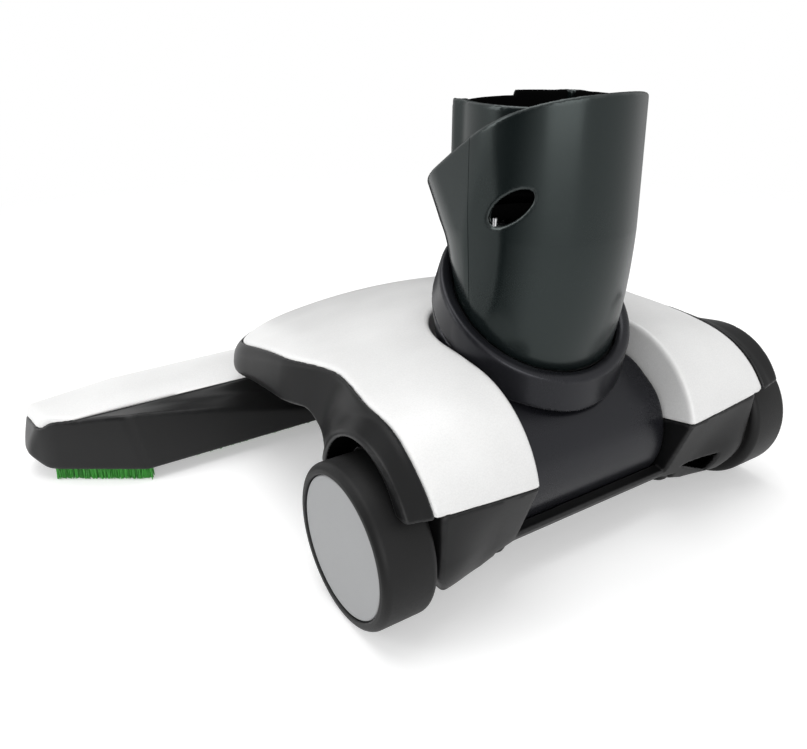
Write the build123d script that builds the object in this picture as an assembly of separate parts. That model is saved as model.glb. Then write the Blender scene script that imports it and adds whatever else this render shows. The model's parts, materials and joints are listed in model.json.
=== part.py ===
"""Vacuum floor brush head: a hooded floor tool on two wheels with a wide nozzle bar in front.

A suction duct joins the bar to a tilting barrel, and a swivelling neck on the barrel takes the wand.
The pieces are drawn with y running forward from the wheel axle and z up from the floor. They are moved
together at the end, so that the origin is the middle of the footprint on the floor.
"""
import os
from math import asin, cos, radians, sin, sqrt

from build123d import *

# Clearances
fit_gap = 0.15
run_gap = 0.4
shaft_gap = 0.05

# Wheels
wheel_radius = 26.2
wheel_width = 18.4
wheel_outer_x = 90.4
tread_round = 2.6
tyre_thickness = 5.2
hub_cap_radius = 22.5
hub_cap_thickness = 2.2
hub_cap_recess = 0.5
rim_web = 3.0
rim_hub_radius = 7.0
rim_spokes = 6
axle_radius = 3.0
axle_boss_radius = 6.5
axle_boss_length = 14.0

# Hood: a drum over the tilt barrel that runs into a long roof
pivot_y = 10.8
pivot_z = 32.1
drum_radius = 39.2
roof_radius = 240.0
crown_radius = 280.0
blend_angle = 7.0
drum_sweep = 70.0
roof_sweep = 42.0
cover_wall = 2.2
drum_half_width = 69.5
hood_half_width = 74.1
hood_front_y = 152.0
hood_front_radius = 87.0
hood_corner_round = 40.0
waist_start_y = 29.0
waist_end_y = 53.0
well_half_width = 34.8
well_round_y = 24.0
well_bottom_z = 41.5

# Dark upper housing under the hood
skirt_wall = 2.2
skirt_lean = 0.14
skirt_flush_z = 72.0
skirt_depth_z = 26.0
skirt_top_z = 84.0
ledge_width = 4.0
skirt_rear_z = 40.2
skirt_arch_y = 28.0
skirt_high_y = 44.0
skirt_high_z = 47.6
skirt_front_y = 118.0
skirt_front_z = 31.0
fender_outer_x = 81.3
fender_rise = 0.41
fender_drum_radius = 32.5
fender_drum_x = 66.0
fender_radius = 29.9
fender_shift_y = 2.0
fender_shift_z = 2.3
guard_wall = 1.5
well_gap = 1.2
well_side_gap = 1.0
well_shift = 0.8

# Lower rear housing
rear_wall = 2.4
rear_top_z = 41.0
rear_mid_top_y = -24.9
rear_mid_low_y = -16.0
rear_mid_low_z = 17.0
rear_mid_bottom_z = 13.5
rear_end_top_y = -19.4
rear_end_low_y = -17.6
rear_end_low_z = 14.0
rear_end_bottom_z = 9.8
rear_step_x = 48.0
rear_toe = 2.6
rear_front_y = 44.0
rear_half_width = 68.6
side_wall_rear_y = -8.0
side_wall_top_z = 46.0
sill_top_z = 19.0
sill_bottom_z = 14.5
sill_half_width = 42.0
cradle_wall = 1.8
cradle_front_angle = 46.0
cradle_rear_angle = 152.0
foot_boss_radius = 4.8
foot_boss_x = 39.5
foot_boss_y = -9.0
foot_boss_drop = 2.6

# Tilt barrel and its elbow
barrel_radius = 25.9
barrel_wall = 3.0
barrel_round = 4.0
trunnion_radius = 7.0
trunnion_length = 6.6
bush_radius = 9.0
bush_flange = 1.4
duct_window_half_width = 23.0
tilt_range = 65.0
elbow_root_radius = 22.0
elbow_lean = 10.0

# Swivel collar
ring_y = 19.7
ring_z = 82.3
ring_tilt = 33.8
collar_radius = 35.6
collar_foot_radius = 34.2
collar_apron = 7.0
collar_height = 12.4
collar_bore = 32.2
collar_lip_bore = 30.7
collar_lip_drop = 1.2
collar_lip_depth = 3.2
elbow_throat = 28.4

# Neck
neck_y = 22.0
neck_radius = 31.2
neck_top_radius = 29.6
neck_base_radius = 30.1
neck_base_drop = 2.0
neck_blend_z = 108.0
neck_wall = 2.2
neck_rear_z = 150.5
neck_seam_z = 137.2
neck_lip_z = 123.0
neck_lip_y = 21.0
neck_front_z = 110.0
lip_shift = 15.0
lip_start_z = 108.0
lip_end_z = 126.0
facet_angle = 62.0
facet_low_z = 103.0
window_angle = 60.0
window_z = 118.2
window_length = 14.6
window_height = 6.8
window_slant = 33.0
socket_radius = 27.2
socket_bore = 25.2
socket_stop_bore = 23.4
socket_stop = 3.0
socket_low_z = 108.0
socket_top_z = 146.3
socket_notch = 1.9
socket_notch_angle = 17.0
key_angle = 120.0
key_radius = 2.7
key_groove_radius = 1.7
key_offset = 1.6
latch_pin_radius = 0.8
latch_pin_length = 4.0
latch_pin_angle = 69.0
latch_pin_inset = 1.85
latch_pin_top_z = 114.4
seal_width = 2.6
seal_depth = 1.8

# Nozzle bar
bar_half_length = 156.6
bar_rear_y = 109.0
bar_front_y = 163.0
bar_bottom_z = 5.0
bar_sweep_length = 38.6
bar_corner_length = 7.1
bar_corner_y = 129.5
bar_tip_y = 138.0
bar_tip_front_y = 148.0
bar_front_length = 8.6
bar_front_corner_y = 157.5
bar_lean = 3.0
bar_crease_z = 27.0
bar_crease_mid_z = 8.0
bar_edge_y = 123.0
bar_edge_z = 27.3
bar_crest_y = 138.0
bar_crest_z = 31.4
bar_crest_mid = 0.6
bar_crest_end = 3.2
bar_nose_z = 16.0
bar_parting_slope = 0.2
bar_tip_rise = 9.5
bar_end_lean = 0.4
bar_end_z = 12.0
bar_cover_wall = 2.2
chamber_half_length = 114.0
chamber_rear_wall = 16.0
chamber_front_wall = 11.0
chamber_top_z = 17.0
chamber_mid_half_length = 40.0
chamber_mid_top_z = 23.0
sole_thickness = 2.4
sole_proud = 0.6
mouth_half_length = 98.0
mouth_width = 14.0
mouth_rib_width = 3.0
mouth_ribs = 3

# Suction duct
duct_rear_half_width = 27.0
duct_rear_low_z = 14.5
duct_rear_high_z = 38.0
duct_half_width = 30.0
duct_low_z = 10.4
duct_high_z = 22.4
duct_straight_y = 110.0
duct_wall = 1.8

# Bristles and screws
bristle_length = 5.0
tuft_width = 2.2
tuft_depth = 2.6
tuft_pitch = 3.4
rail_width = 4.0
rail_height = 3.4
rail_inset = 1.0
rear_strip_y = 119.0
rear_strip_half_length = 96.0
screw_radius = 1.5
screw_head_radius = 3.0
screw_head_height = 2.0
screw_length = 9.0
sole_screw_x = 106.0

# Places that follow from the sizes above
blend_sin = sin(radians(blend_angle))
blend_cos = cos(radians(blend_angle))
ring_sin = sin(radians(ring_tilt))
ring_cos = cos(radians(ring_tilt))
roof_drop = roof_radius - drum_radius
pivot = (0, pivot_y, pivot_z)
drum_axis = Axis(pivot, (1, 0, 0))
roof_axis = Axis((0, pivot_y + roof_drop * blend_sin, pivot_z - roof_drop * blend_cos), (-1, 0, 0))
blend_plane = Plane(origin=pivot, x_dir=(1, 0, 0), z_dir=(0, -blend_cos, -blend_sin))
ring_centre = Vector(0, ring_y, ring_z)
ring_normal = Vector(0, -ring_sin, ring_cos)
ring_plane = Plane(origin=ring_centre, x_dir=(1, 0, 0), z_dir=ring_normal)
ring_section = Plane(origin=ring_centre, x_dir=(1, 0, 0), z_dir=(0, -ring_cos, -ring_sin))
ring_axis = Axis(ring_centre, ring_normal)
wheel_inner_x = wheel_outer_x - wheel_width
wheel_well_radius = wheel_radius + well_gap
wheel_well_z = wheel_radius + well_shift
bar_straight_x = bar_half_length - bar_sweep_length
bar_corner_x = bar_half_length - bar_corner_length
bar_front_x = bar_half_length - bar_front_length
chamber_rear_y = bar_rear_y + chamber_rear_wall
chamber_front_y = bar_front_y - chamber_front_wall
far = 400.0


def x_rod(radius, x_start, x_end, y, z):
    """A round bar along X."""
    plane = Plane(origin=(x_start, y, z), x_dir=(0, 1, 0), z_dir=(1, 0, 0))
    return extrude(plane * Circle(radius), x_end - x_start)


def block(x_low, x_high, y_low, y_high, z_low, z_high):
    """A box between two corners."""
    size = (x_high - x_low, y_high - y_low, z_high - z_low)
    return Pos(x_low, y_low, z_low) * Box(*size, align=(Align.MIN, Align.MIN, Align.MIN))


def side_prism(points, x_low, x_high):
    """A polygon in the side view, drawn out from one x to another."""
    face = make_face(Polyline(*points, close=True))
    return extrude(Plane.YZ.offset(x_low) * face, x_high - x_low)


def upright(face, z_low, z_high):
    """A plan shape drawn up between two heights."""
    return extrude(Pos(0, 0, z_low) * face, z_high - z_low)


def both_sides(piece):
    """A piece and its mirror image across the middle plane."""
    return piece + mirror(piece, Plane.YZ)


def crown_face(inset, low):
    """Cross-section of the hood: a crowned top edge over a straight bottom edge."""
    reach = fender_outer_x + ledge_width
    top = drum_radius - inset
    edge = top - (crown_radius - sqrt(crown_radius**2 - reach**2))
    crown = ThreePointArc((-reach, edge), (0, top), (reach, edge))
    sides = Polyline((reach, edge), (reach, low), (-reach, low), (-reach, edge))
    return make_face([crown, sides])


def under_hood(inset, rear_sweep):
    """Everything below the hood's surface, from the rear of the drum to past the front of the roof."""
    drum = revolve(blend_plane * crown_face(inset, 0), drum_axis, rear_sweep)
    roof = revolve(blend_plane * crown_face(inset, -drum_radius), roof_axis, roof_sweep)
    return drum + roof


def plan_face(grow):
    """The hood's outline seen from above, grown outwards by an amount."""
    waist = drum_half_width + grow
    side = hood_half_width + grow
    front_radius = hood_front_radius + grow
    front_centre = hood_front_y - hood_front_radius
    shoulder_y = front_centre + sqrt(front_radius**2 - side**2)
    rear_y = -2 * wheel_radius
    rear = Line((-waist, rear_y), (waist, rear_y))
    right = Line((waist, rear_y), (waist, waist_start_y))
    flare = Spline((waist, waist_start_y), (side, waist_end_y), tangents=((0, 1), (0, 1)))
    flank = Line((side, waist_end_y), (side, shoulder_y))
    front = ThreePointArc((side, shoulder_y), (0, front_centre + front_radius), (-side, shoulder_y))
    left_flank = Line((-side, shoulder_y), (-side, waist_end_y))
    left_flare = Spline((-side, waist_end_y), (-waist, waist_start_y), tangents=((0, -1), (0, -1)))
    left = Line((-waist, waist_start_y), (-waist, rear_y))
    face = make_face([rear, right, flare, flank, front, left_flank, left_flare, left])
    corners = [corner for corner in face.vertices() if abs(corner.Y - shoulder_y) < fit_gap]
    return fillet(corners, hood_corner_round)


def well_face(grow):
    """The slot in the hood that the barrel and its elbow stand in."""
    half = well_half_width + grow
    rear_y = -2 * wheel_radius
    slot = Pos(0, (rear_y + well_round_y) / 2) * Rectangle(2 * half, well_round_y - rear_y)
    return slot + Pos(0, well_round_y) * Circle(half)


def top_cover():
    """Pale hood shell with a walled slot for the barrel."""
    shell = under_hood(0, drum_sweep) - under_hood(cover_wall, drum_sweep)
    shell = shell & upright(plan_face(0), 0, far)
    shell -= upright(well_face(0), 0, far)
    rim = upright(well_face(cover_wall), well_bottom_z, far) - upright(well_face(0), 0, far)
    return shell + (rim & under_hood(cover_wall / 2, drum_sweep))


def skirt_solid(grow):
    """The leaning side walls of the upper housing as one solid."""
    low = skirt_lean * (skirt_flush_z - skirt_depth_z) + grow
    high = skirt_lean * (skirt_flush_z - skirt_top_z) + grow
    low_face = Pos(0, 0, skirt_depth_z) * plan_face(low)
    high_face = Pos(0, 0, skirt_top_z) * plan_face(high)
    return loft([low_face, high_face], ruled=True)


def fender():
    """Arched guard over the right wheel, drawn out from the drum's side."""
    start = Plane.YZ.offset(fender_drum_x) * Pos(pivot_y, pivot_z) * Circle(fender_drum_radius)
    centre = Pos(fender_shift_y, wheel_radius + fender_shift_z)
    end = Plane.YZ.offset(fender_outer_x) * centre * Circle(fender_radius)
    arch = loft([start, end], ruled=True)
    sheet_radius = wheel_well_radius + guard_wall
    arch += x_rod(sheet_radius, drum_half_width, fender_outer_x, well_shift, wheel_well_z)
    low = skirt_rear_z - fender_rise * drum_half_width
    edge = [(0, low), (far, low + fender_rise * far), (far, far), (0, far)]
    above = extrude(Plane.XZ * make_face(Polyline(*edge, close=True)), far, both=True)
    return arch & block(drum_half_width + fit_gap, far, -far, far, 0, far) & above


def upper_housing():
    """Dark housing: a ledge that carries the hood, leaning side walls and the two wheel guards."""
    body = skirt_solid(0) & under_hood(0, 2 * drum_sweep)
    body -= skirt_solid(-skirt_wall) & under_hood(2 * cover_wall, 2 * drum_sweep)
    body += both_sides(fender())
    recess = upright(plan_face(fit_gap), 0, far) - under_hood(cover_wall + fit_gap, 2 * drum_sweep)
    body -= recess
    body -= upright(plan_face(-ledge_width), 0, far)
    low_line = [
        (-far, skirt_rear_z),
        (skirt_arch_y, skirt_rear_z),
        (skirt_arch_y, skirt_high_z),
        (skirt_high_y, skirt_high_z),
        (skirt_front_y, skirt_front_z),
        (far, skirt_front_z),
        (far, -far),
        (-far, -far),
    ]
    body -= side_prism(low_line, -far, far)
    wheel_x = wheel_inner_x - well_side_gap
    body -= both_sides(x_rod(wheel_well_radius, wheel_x, far, well_shift, wheel_well_z))
    body -= bar_solid(2 * fit_gap)
    return body


def rear_section(x, top_y, low_y, low_z, bottom_z, inset):
    """Side view of the lower rear housing at one distance from the middle, drawn in by a wall."""
    points = [
        (top_y + inset, rear_top_z),
        (low_y + inset, low_z),
        (low_y + inset + rear_toe, bottom_z + inset),
        (rear_front_y - inset, bottom_z + inset),
        (rear_front_y - inset, rear_top_z),
    ]
    return Plane.YZ.offset(x) * make_face(Polyline(*points, close=True))


def rear_block(inset):
    """The lower rear housing as a solid: leaning in the middle and nearly upright beside the wheels."""
    stations = [well_half_width, rear_step_x, rear_half_width]
    sections = []
    for x in [-x for x in reversed(stations)] + stations:
        share = (x**2 - well_half_width**2) / (rear_half_width**2 - well_half_width**2)
        top_y = rear_mid_top_y + share * (rear_end_top_y - rear_mid_top_y)
        low_y = rear_mid_low_y + share * (rear_end_low_y - rear_mid_low_y)
        low_z = rear_mid_low_z if abs(x) < rear_step_x else rear_end_low_z
        bottom_z = rear_mid_bottom_z if abs(x) < rear_step_x else rear_end_bottom_z
        sections.append(rear_section(x, top_y, low_y, low_z, bottom_z, inset))
    return loft(sections, ruled=True)


def hood_edge_room():
    """Room for the rear edge of the hood above the rear wall."""
    turn = radians(blend_angle + drum_sweep)
    reach = 2 * drum_radius
    start = (pivot_y - drum_radius / 2 * sin(turn), pivot_z + drum_radius / 2 * cos(turn) - fit_gap)
    end = (pivot_y - reach * sin(turn), pivot_z + reach * cos(turn) - fit_gap)
    return side_prism([start, end, (end[0], far), (start[0], far)], -far, far)


def cradle():
    """Trough under the barrel that closes its window from below."""
    outer = x_rod(barrel_radius + run_gap + cradle_wall, -well_half_width, well_half_width, pivot_y, pivot_z)
    inner = x_rod(barrel_radius + run_gap, -far, far, pivot_y, pivot_z)
    trough = outer - inner
    reach = 2 * drum_radius
    front = radians(cradle_front_angle)
    rear = radians(cradle_rear_angle)
    wedge = [
        (pivot_y, pivot_z),
        (pivot_y + reach * cos(front), pivot_z - reach * sin(front)),
        (pivot_y, pivot_z - 2 * reach),
        (pivot_y + reach * cos(rear), pivot_z - reach * sin(rear)),
    ]
    return trough & side_prism(wedge, -far, far)


def rear_housing():
    """Two axle boxes with the sill and the barrel's trough between them."""
    body = rear_block(0) - hood_edge_room()
    hollow_x = well_half_width + rear_wall
    hollow = rear_block(rear_wall) & block(hollow_x, rear_half_width - rear_wall, -far, far, 0, far)
    body -= both_sides(hollow)
    body -= block(-well_half_width, well_half_width, -far, far, sill_top_z, far)
    body -= x_rod(barrel_radius + run_gap, -well_half_width, well_half_width, pivot_y, pivot_z)
    body -= block(-sill_half_width, sill_half_width, -far, foot_boss_y, 0, sill_bottom_z)
    body += cradle()
    wall_x = rear_half_width - rear_wall
    wall_low_z = 2 * rear_end_bottom_z
    wall_front_y = rear_front_y / 2
    top_wall = block(wall_x, rear_half_width, side_wall_rear_y, wall_front_y, wall_low_z, side_wall_top_z)
    body += both_sides(top_wall)
    boss = x_rod(axle_boss_radius, rear_half_width - axle_boss_length, rear_half_width, 0, wheel_radius)
    body += both_sides(boss)
    body -= both_sides(x_rod(axle_radius, rear_half_width - axle_boss_length, far, 0, wheel_radius))
    body -= both_sides(x_rod(bush_radius, well_half_width, hollow_x, pivot_y, pivot_z))
    foot = Pos(foot_boss_x, foot_boss_y, sill_bottom_z - foot_boss_drop)
    foot_height = rear_wall + foot_boss_drop
    foot *= Cylinder(foot_boss_radius, foot_height, align=(Align.CENTER, Align.CENTER, Align.MIN))
    body += both_sides(foot - x_rod(barrel_radius + run_gap, -far, far, pivot_y, pivot_z))
    body -= both_sides(housing_screw_hole())
    duct_hole = block(
        -duct_rear_half_width, duct_rear_half_width, pivot_y, far, duct_rear_low_z, duct_rear_high_z
    )
    return body - duct_hole


def housing_screw_place():
    """Where the screw sits in the right foot boss, head downwards."""
    return Pos(foot_boss_x, foot_boss_y, sill_bottom_z - foot_boss_drop)


def housing_screw_hole():
    """Counterbore and core hole for one housing screw."""
    low = (Align.CENTER, Align.CENTER, Align.MIN)
    head = Cylinder(screw_head_radius + fit_gap, screw_head_height, align=low)
    core = Cylinder(screw_radius, screw_head_height + rear_wall + foot_boss_drop, align=low)
    return housing_screw_place() * (head + core)


def screw(place, length):
    """Pan-head screw with its head at the bottom."""
    low = (Align.CENTER, Align.CENTER, Align.MIN)
    head = Cylinder(screw_head_radius, screw_head_height, align=low)
    socket = Cylinder(screw_radius, screw_head_height / 2, align=low)
    shank = Cylinder(screw_radius, length, align=low)
    return place * (head - socket + Pos(0, 0, screw_head_height) * shank)


def suction_duct():
    """Flat tapering air duct from the barrel's trough to the nozzle bar."""
    outer = duct_solid(0)
    return outer - duct_solid(duct_wall)


def duct_section(y, half_width, low, high, inset):
    """One upright cross-section of the duct."""
    width = 2 * (half_width - inset)
    height = high - low - 2 * inset
    plane = Plane(origin=(0, y, (low + high) / 2), x_dir=(1, 0, 0), z_dir=(0, -1, 0))
    return plane * Rectangle(width, height)


def duct_solid(inset):
    """The duct's outside, or its inside when drawn in by the wall."""
    rear = duct_section(rear_front_y, duct_rear_half_width, duct_rear_low_z, duct_rear_high_z, inset)
    front = duct_section(duct_straight_y, duct_half_width, duct_low_z, duct_high_z, inset)
    taper = loft([rear, front], ruled=True)
    straight = block(
        -duct_half_width + inset,
        duct_half_width - inset,
        duct_straight_y,
        chamber_rear_y + (inset > 0),
        duct_low_z + inset,
        duct_high_z - inset,
    )
    return taper + straight


def bar_section(x, crease_z, crest_z, grow):
    """Cross-section of the nozzle bar at one place along it."""
    edge = (bar_edge_y - grow, bar_edge_z + grow)
    crest = (bar_crest_y, crest_z + grow)
    nose = (bar_front_y + bar_lean, bar_nose_z + grow)
    top = ThreePointArc(edge, crest, nose)
    rest = Polyline(
        nose,
        (bar_front_y + bar_lean, bar_bottom_z),
        (bar_rear_y - grow, bar_bottom_z),
        (bar_rear_y + bar_lean - grow, crease_z + grow),
        edge,
    )
    return Plane.YZ.offset(x) * make_face([top, rest])


def bar_outline(grow):
    """The bar seen from above, with swept rear corners and blunt tips."""
    right = [
        (bar_straight_x, bar_rear_y - grow),
        (bar_corner_x + grow, bar_corner_y - grow),
        (bar_half_length + grow, bar_tip_y),
        (bar_half_length + grow, bar_tip_front_y),
        (bar_front_x, bar_front_corner_y + grow),
    ]
    left = [(-x, y) for x, y in reversed(right)]
    front = ThreePointArc(right[-1], (0, bar_front_y + grow), left[0])
    return make_face([Polyline(*left, *right), front])


def bar_solid(grow):
    """The whole bar, housing and cover together."""
    stations = []
    for x in (-bar_half_length, -bar_straight_x, 0, bar_straight_x, bar_half_length):
        share = min(abs(x) / bar_straight_x, 1)
        beyond = max(abs(x) - bar_straight_x, 0) / (bar_half_length - bar_straight_x)
        crease_z = bar_crease_mid_z + share * (bar_crease_z - bar_crease_mid_z)
        crest_z = bar_crest_z + bar_crest_mid * (1 - share) - bar_crest_end * beyond
        stations.append(bar_section(x * (1 + grow / bar_half_length), crease_z, crest_z, grow))
    return loft(stations, ruled=True) & upright(bar_outline(grow), 0, far) & between_ends(grow)


def between_ends(grow):
    """Everything between the bar's two end faces, which lean in towards the top."""
    top_z = 2 * bar_crest_z
    low_x = bar_half_length + grow + bar_end_lean * bar_end_z
    top_x = low_x - bar_end_lean * top_z
    edge = [(-low_x, 0), (low_x, 0), (top_x, top_z), (-top_x, top_z)]
    return extrude(Plane.XZ * make_face(Polyline(*edge, close=True)), far, both=True)


def above_parting(lift):
    """Everything above the line where the bar's cover meets its housing."""
    low_y = bar_rear_y - far
    high_y = bar_rear_y + far
    low = (low_y, bar_edge_z + lift + bar_parting_slope * (bar_edge_y - low_y))
    high = (high_y, bar_edge_z + lift + bar_parting_slope * (bar_edge_y - high_y))
    return side_prism([low, high, (high_y, 2 * far), (low_y, 2 * far)], -far, far)


def nozzle_cover():
    """Pale top of the bar, a shallow tray turned upside down."""
    solid = bar_solid(0) & above_parting(0)
    hollow = bar_solid(-bar_cover_wall) & above_parting(-bar_cover_wall)
    return solid - hollow


def tip_wedge():
    """Slanted underside at the right tip of the bar."""
    points = [
        (bar_corner_x, bar_bottom_z),
        (bar_half_length + bar_lean, bar_bottom_z + bar_tip_rise),
        (bar_half_length + bar_lean, 0),
        (bar_corner_x, 0),
    ]
    face = make_face(Polyline(*points, close=True))
    return extrude(Plane.XZ * face, far, both=True)


def chamber():
    """Suction chamber inside the bar, taller in the middle where the duct comes in."""
    low = bar_bottom_z - sole_proud
    long_part = block(
        -chamber_half_length, chamber_half_length, chamber_rear_y, chamber_front_y, low, chamber_top_z
    )
    middle = block(
        -chamber_mid_half_length,
        chamber_mid_half_length,
        chamber_rear_y,
        (chamber_rear_y + chamber_front_y) / 2,
        low,
        chamber_mid_top_z,
    )
    return long_part + middle


def sole_screw_places():
    """Screw places at the four corners of the sole."""
    rear = chamber_rear_y + screw_head_radius + rail_width
    front = chamber_front_y - screw_head_radius - rail_width
    low = bar_bottom_z - sole_proud
    return [Pos(x, y, low) for x in (-sole_screw_x, sole_screw_x) for y in (rear, front)]


def sole_bosses():
    """Posts inside the chamber that the sole is screwed to."""
    low = (Align.CENTER, Align.CENTER, Align.MIN)
    lift = bar_bottom_z - sole_proud + sole_thickness
    height = chamber_top_z + sole_proud - lift
    post = Cylinder(screw_head_radius + fit_gap, height, align=low)
    post -= Cylinder(screw_radius, screw_length, align=low)
    return [place * Pos(0, 0, sole_thickness) * post for place in sole_screw_places()]


def corner_rail_line():
    """Ends of the right corner strip, parallel to the swept rear corner."""
    start = Vector(bar_straight_x, bar_rear_y, 0)
    end = Vector(bar_corner_x, bar_corner_y, 0)
    along = (end - start).normalized()
    inward = Vector(-along.Y, along.X, 0)
    inset = rail_inset + rail_width / 2
    return start + inward * inset + along * rail_inset, end + inward * inset - along * rail_inset


def strip(start, end, grow):
    """Rail of a bristle strip between two points of the plan."""
    along = end - start
    place = Plane(origin=(start + end) * 0.5 + Vector(0, 0, bar_bottom_z), x_dir=along, z_dir=(0, 0, 1))
    length = along.length + 2 * grow
    width = rail_width + 2 * grow
    return place * Box(length, width, rail_height + grow, align=(Align.CENTER, Align.CENTER, Align.MIN))


def bristle_strip(start, end):
    """A rail with its row of tufts down to the floor."""
    rail = strip(start, end, 0)
    along = end - start
    count = int(along.length / tuft_pitch)
    step = along.length / count
    place = Plane(origin=start + Vector(0, 0, bar_bottom_z - bristle_length), x_dir=along, z_dir=(0, 0, 1))
    tuft = Box(tuft_width, tuft_depth, bristle_length, align=(Align.CENTER, Align.CENTER, Align.MIN))
    tufts = [place * Pos((index + 0.5) * step, 0, 0) * tuft for index in range(count)]
    return rail + tufts


def rear_rail_line():
    """Ends of the long strip behind the mouth."""
    return Vector(-rear_strip_half_length, rear_strip_y, 0), Vector(rear_strip_half_length, rear_strip_y, 0)


def nozzle_housing():
    """Dark lower half of the bar with the suction chamber and the grooves for the bristle strips."""
    body = bar_solid(0) - above_parting(0) - both_sides(tip_wedge())
    body -= chamber()
    body += sole_bosses()
    body -= duct_solid(-fit_gap)
    corner = strip(*corner_rail_line(), 0)
    body -= both_sides(corner)
    return body - strip(*rear_rail_line(), 0)


def sole_plate():
    """Plate that closes the chamber from below, with the suction mouth across it."""
    low = bar_bottom_z - sole_proud
    plate = block(
        -chamber_half_length + fit_gap,
        chamber_half_length - fit_gap,
        chamber_rear_y + fit_gap,
        chamber_front_y - fit_gap,
        low,
        low + sole_thickness,
    )
    middle_y = (chamber_rear_y + chamber_front_y) / 2
    mouth = Pos(0, middle_y) * SlotOverall(2 * mouth_half_length, mouth_width)
    pitch = 2 * mouth_half_length / (mouth_ribs + 1)
    for index in range(mouth_ribs):
        place = Pos(pitch * (index + 1) - mouth_half_length, middle_y)
        mouth -= place * Rectangle(mouth_rib_width, mouth_width)
    plate -= upright(mouth, 0, far)
    holes = [place * Cylinder(screw_head_radius + fit_gap, far) for place in sole_screw_places()]
    lands = [place * screw_land() for place in sole_screw_places()]
    return plate - holes + lands


def screw_land():
    """Thin ring left under a screw head in the sole."""
    low = (Align.CENTER, Align.CENTER, Align.MIN)
    ring = Cylinder(screw_head_radius + fit_gap, sole_thickness - screw_head_height, align=low)
    return Pos(0, 0, screw_head_height) * (ring - Cylinder(screw_radius, sole_thickness, align=low))


def tyre():
    """Soft tread ring of the right wheel."""
    ring = x_rod(wheel_radius, wheel_inner_x, wheel_outer_x, 0, wheel_radius)
    ring = fillet(ring.edges().filter_by(GeomType.CIRCLE), tread_round)
    seat_x = wheel_outer_x - hub_cap_recess - hub_cap_thickness
    ring -= x_rod(wheel_radius - tyre_thickness, wheel_inner_x, wheel_outer_x, 0, wheel_radius)
    return ring - x_rod(hub_cap_radius + fit_gap, seat_x, far, 0, wheel_radius)


def rim():
    """Spoked core of the right wheel that turns on the axle."""
    outer_x = wheel_outer_x - hub_cap_recess - hub_cap_thickness
    outer_radius = wheel_radius - tyre_thickness
    body = x_rod(outer_radius, wheel_inner_x, outer_x, 0, wheel_radius)
    body -= x_rod(outer_radius - rim_web, wheel_inner_x, outer_x - rim_web, 0, wheel_radius)
    body += x_rod(rim_hub_radius, wheel_inner_x, outer_x, 0, wheel_radius)
    spoke = block(
        wheel_inner_x + rim_web,
        outer_x - rim_web,
        rim_hub_radius - 1,
        outer_radius - rim_web / 2,
        -rim_web / 4,
        rim_web / 4,
    )
    for index in range(rim_spokes):
        body += Pos(0, 0, wheel_radius) * Rot(index * 360 / rim_spokes, 0, 0) * spoke
    return body - x_rod(axle_radius + shaft_gap, wheel_inner_x, far, 0, wheel_radius)


def hub_cap():
    """Flat disc that closes the right wheel."""
    outer_x = wheel_outer_x - hub_cap_recess
    disc = x_rod(hub_cap_radius, outer_x - hub_cap_thickness, outer_x, 0, wheel_radius)
    return chamfer(disc.edges().filter_by(GeomType.CIRCLE).sort_by(Axis.X)[-1], hub_cap_recess)


def axle_pin():
    """Steel pin that carries the right wheel."""
    end_x = wheel_outer_x - hub_cap_recess - hub_cap_thickness - run_gap
    return x_rod(axle_radius, rear_half_width - axle_boss_length, end_x, 0, wheel_radius)


def trunnion_bush():
    """Flanged bush in the wall beside the barrel's right end."""
    inner_x = well_half_width
    outer_x = well_half_width + rear_wall
    body = x_rod(bush_radius, inner_x, outer_x, pivot_y, pivot_z)
    body += x_rod(bush_radius + bush_flange, outer_x, outer_x + bush_flange, pivot_y, pivot_z)
    return body - x_rod(trunnion_radius + shaft_gap, inner_x, far, pivot_y, pivot_z)


def turned(points):
    """A ring turned about the swivel axis from points of radius and height above the rim."""
    return revolve(ring_section * make_face(Polyline(*points, close=True)), ring_axis, 360)


def elbow_loft(root_radius, top_radius, top_drop):
    """Round passage from the barrel's middle up to the swivel."""
    lean = radians(elbow_lean)
    root_plane = Plane(origin=pivot, x_dir=(1, 0, 0), z_dir=(0, sin(lean), cos(lean)))
    return loft([root_plane * Circle(root_radius), ring_plane.offset(-top_drop) * Circle(top_radius)])


def barrel_half_width():
    """Half the barrel's length between the walls of the slot."""
    return well_half_width - 2 * run_gap


def barrel_window():
    """Opening that keeps the barrel joined to the duct while it tilts."""
    reach = 2 * drum_radius
    top = asin((duct_rear_high_z - pivot_z) / barrel_radius)
    low_angle = cradle_front_angle + tilt_range
    middle = radians(low_angle / 2)
    low = radians(low_angle)
    wedge = [
        (pivot_y, pivot_z),
        (pivot_y + reach * cos(top), pivot_z + reach * sin(top)),
        (pivot_y + reach * cos(middle), pivot_z - reach * sin(middle)),
        (pivot_y + reach * cos(low), pivot_z - reach * sin(low)),
    ]
    return side_prism(wedge, -duct_window_half_width, duct_window_half_width)


def tilt_barrel():
    """Hollow barrel with trunnions, and the elbow that rises from it to the swivel."""
    half = barrel_half_width()
    drum = x_rod(barrel_radius, -half, half, pivot_y, pivot_z)
    drum = fillet(drum.edges().filter_by(GeomType.CIRCLE), barrel_round)
    body = drum + elbow_loft(elbow_root_radius, collar_foot_radius, collar_height)
    body -= ring_plane.offset(-collar_height) * Cylinder(
        collar_bore, far, align=(Align.CENTER, Align.CENTER, Align.MIN)
    )
    inner = barrel_radius - barrel_wall
    body -= x_rod(inner, barrel_wall - half, half - barrel_wall, pivot_y, pivot_z)
    body -= elbow_loft(elbow_root_radius - barrel_wall, elbow_throat, collar_height)
    body -= barrel_window()
    trunnion_end = well_half_width + trunnion_length
    trunnion = x_rod(trunnion_radius, half - barrel_wall, trunnion_end, pivot_y, pivot_z)
    return body + both_sides(trunnion)


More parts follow.
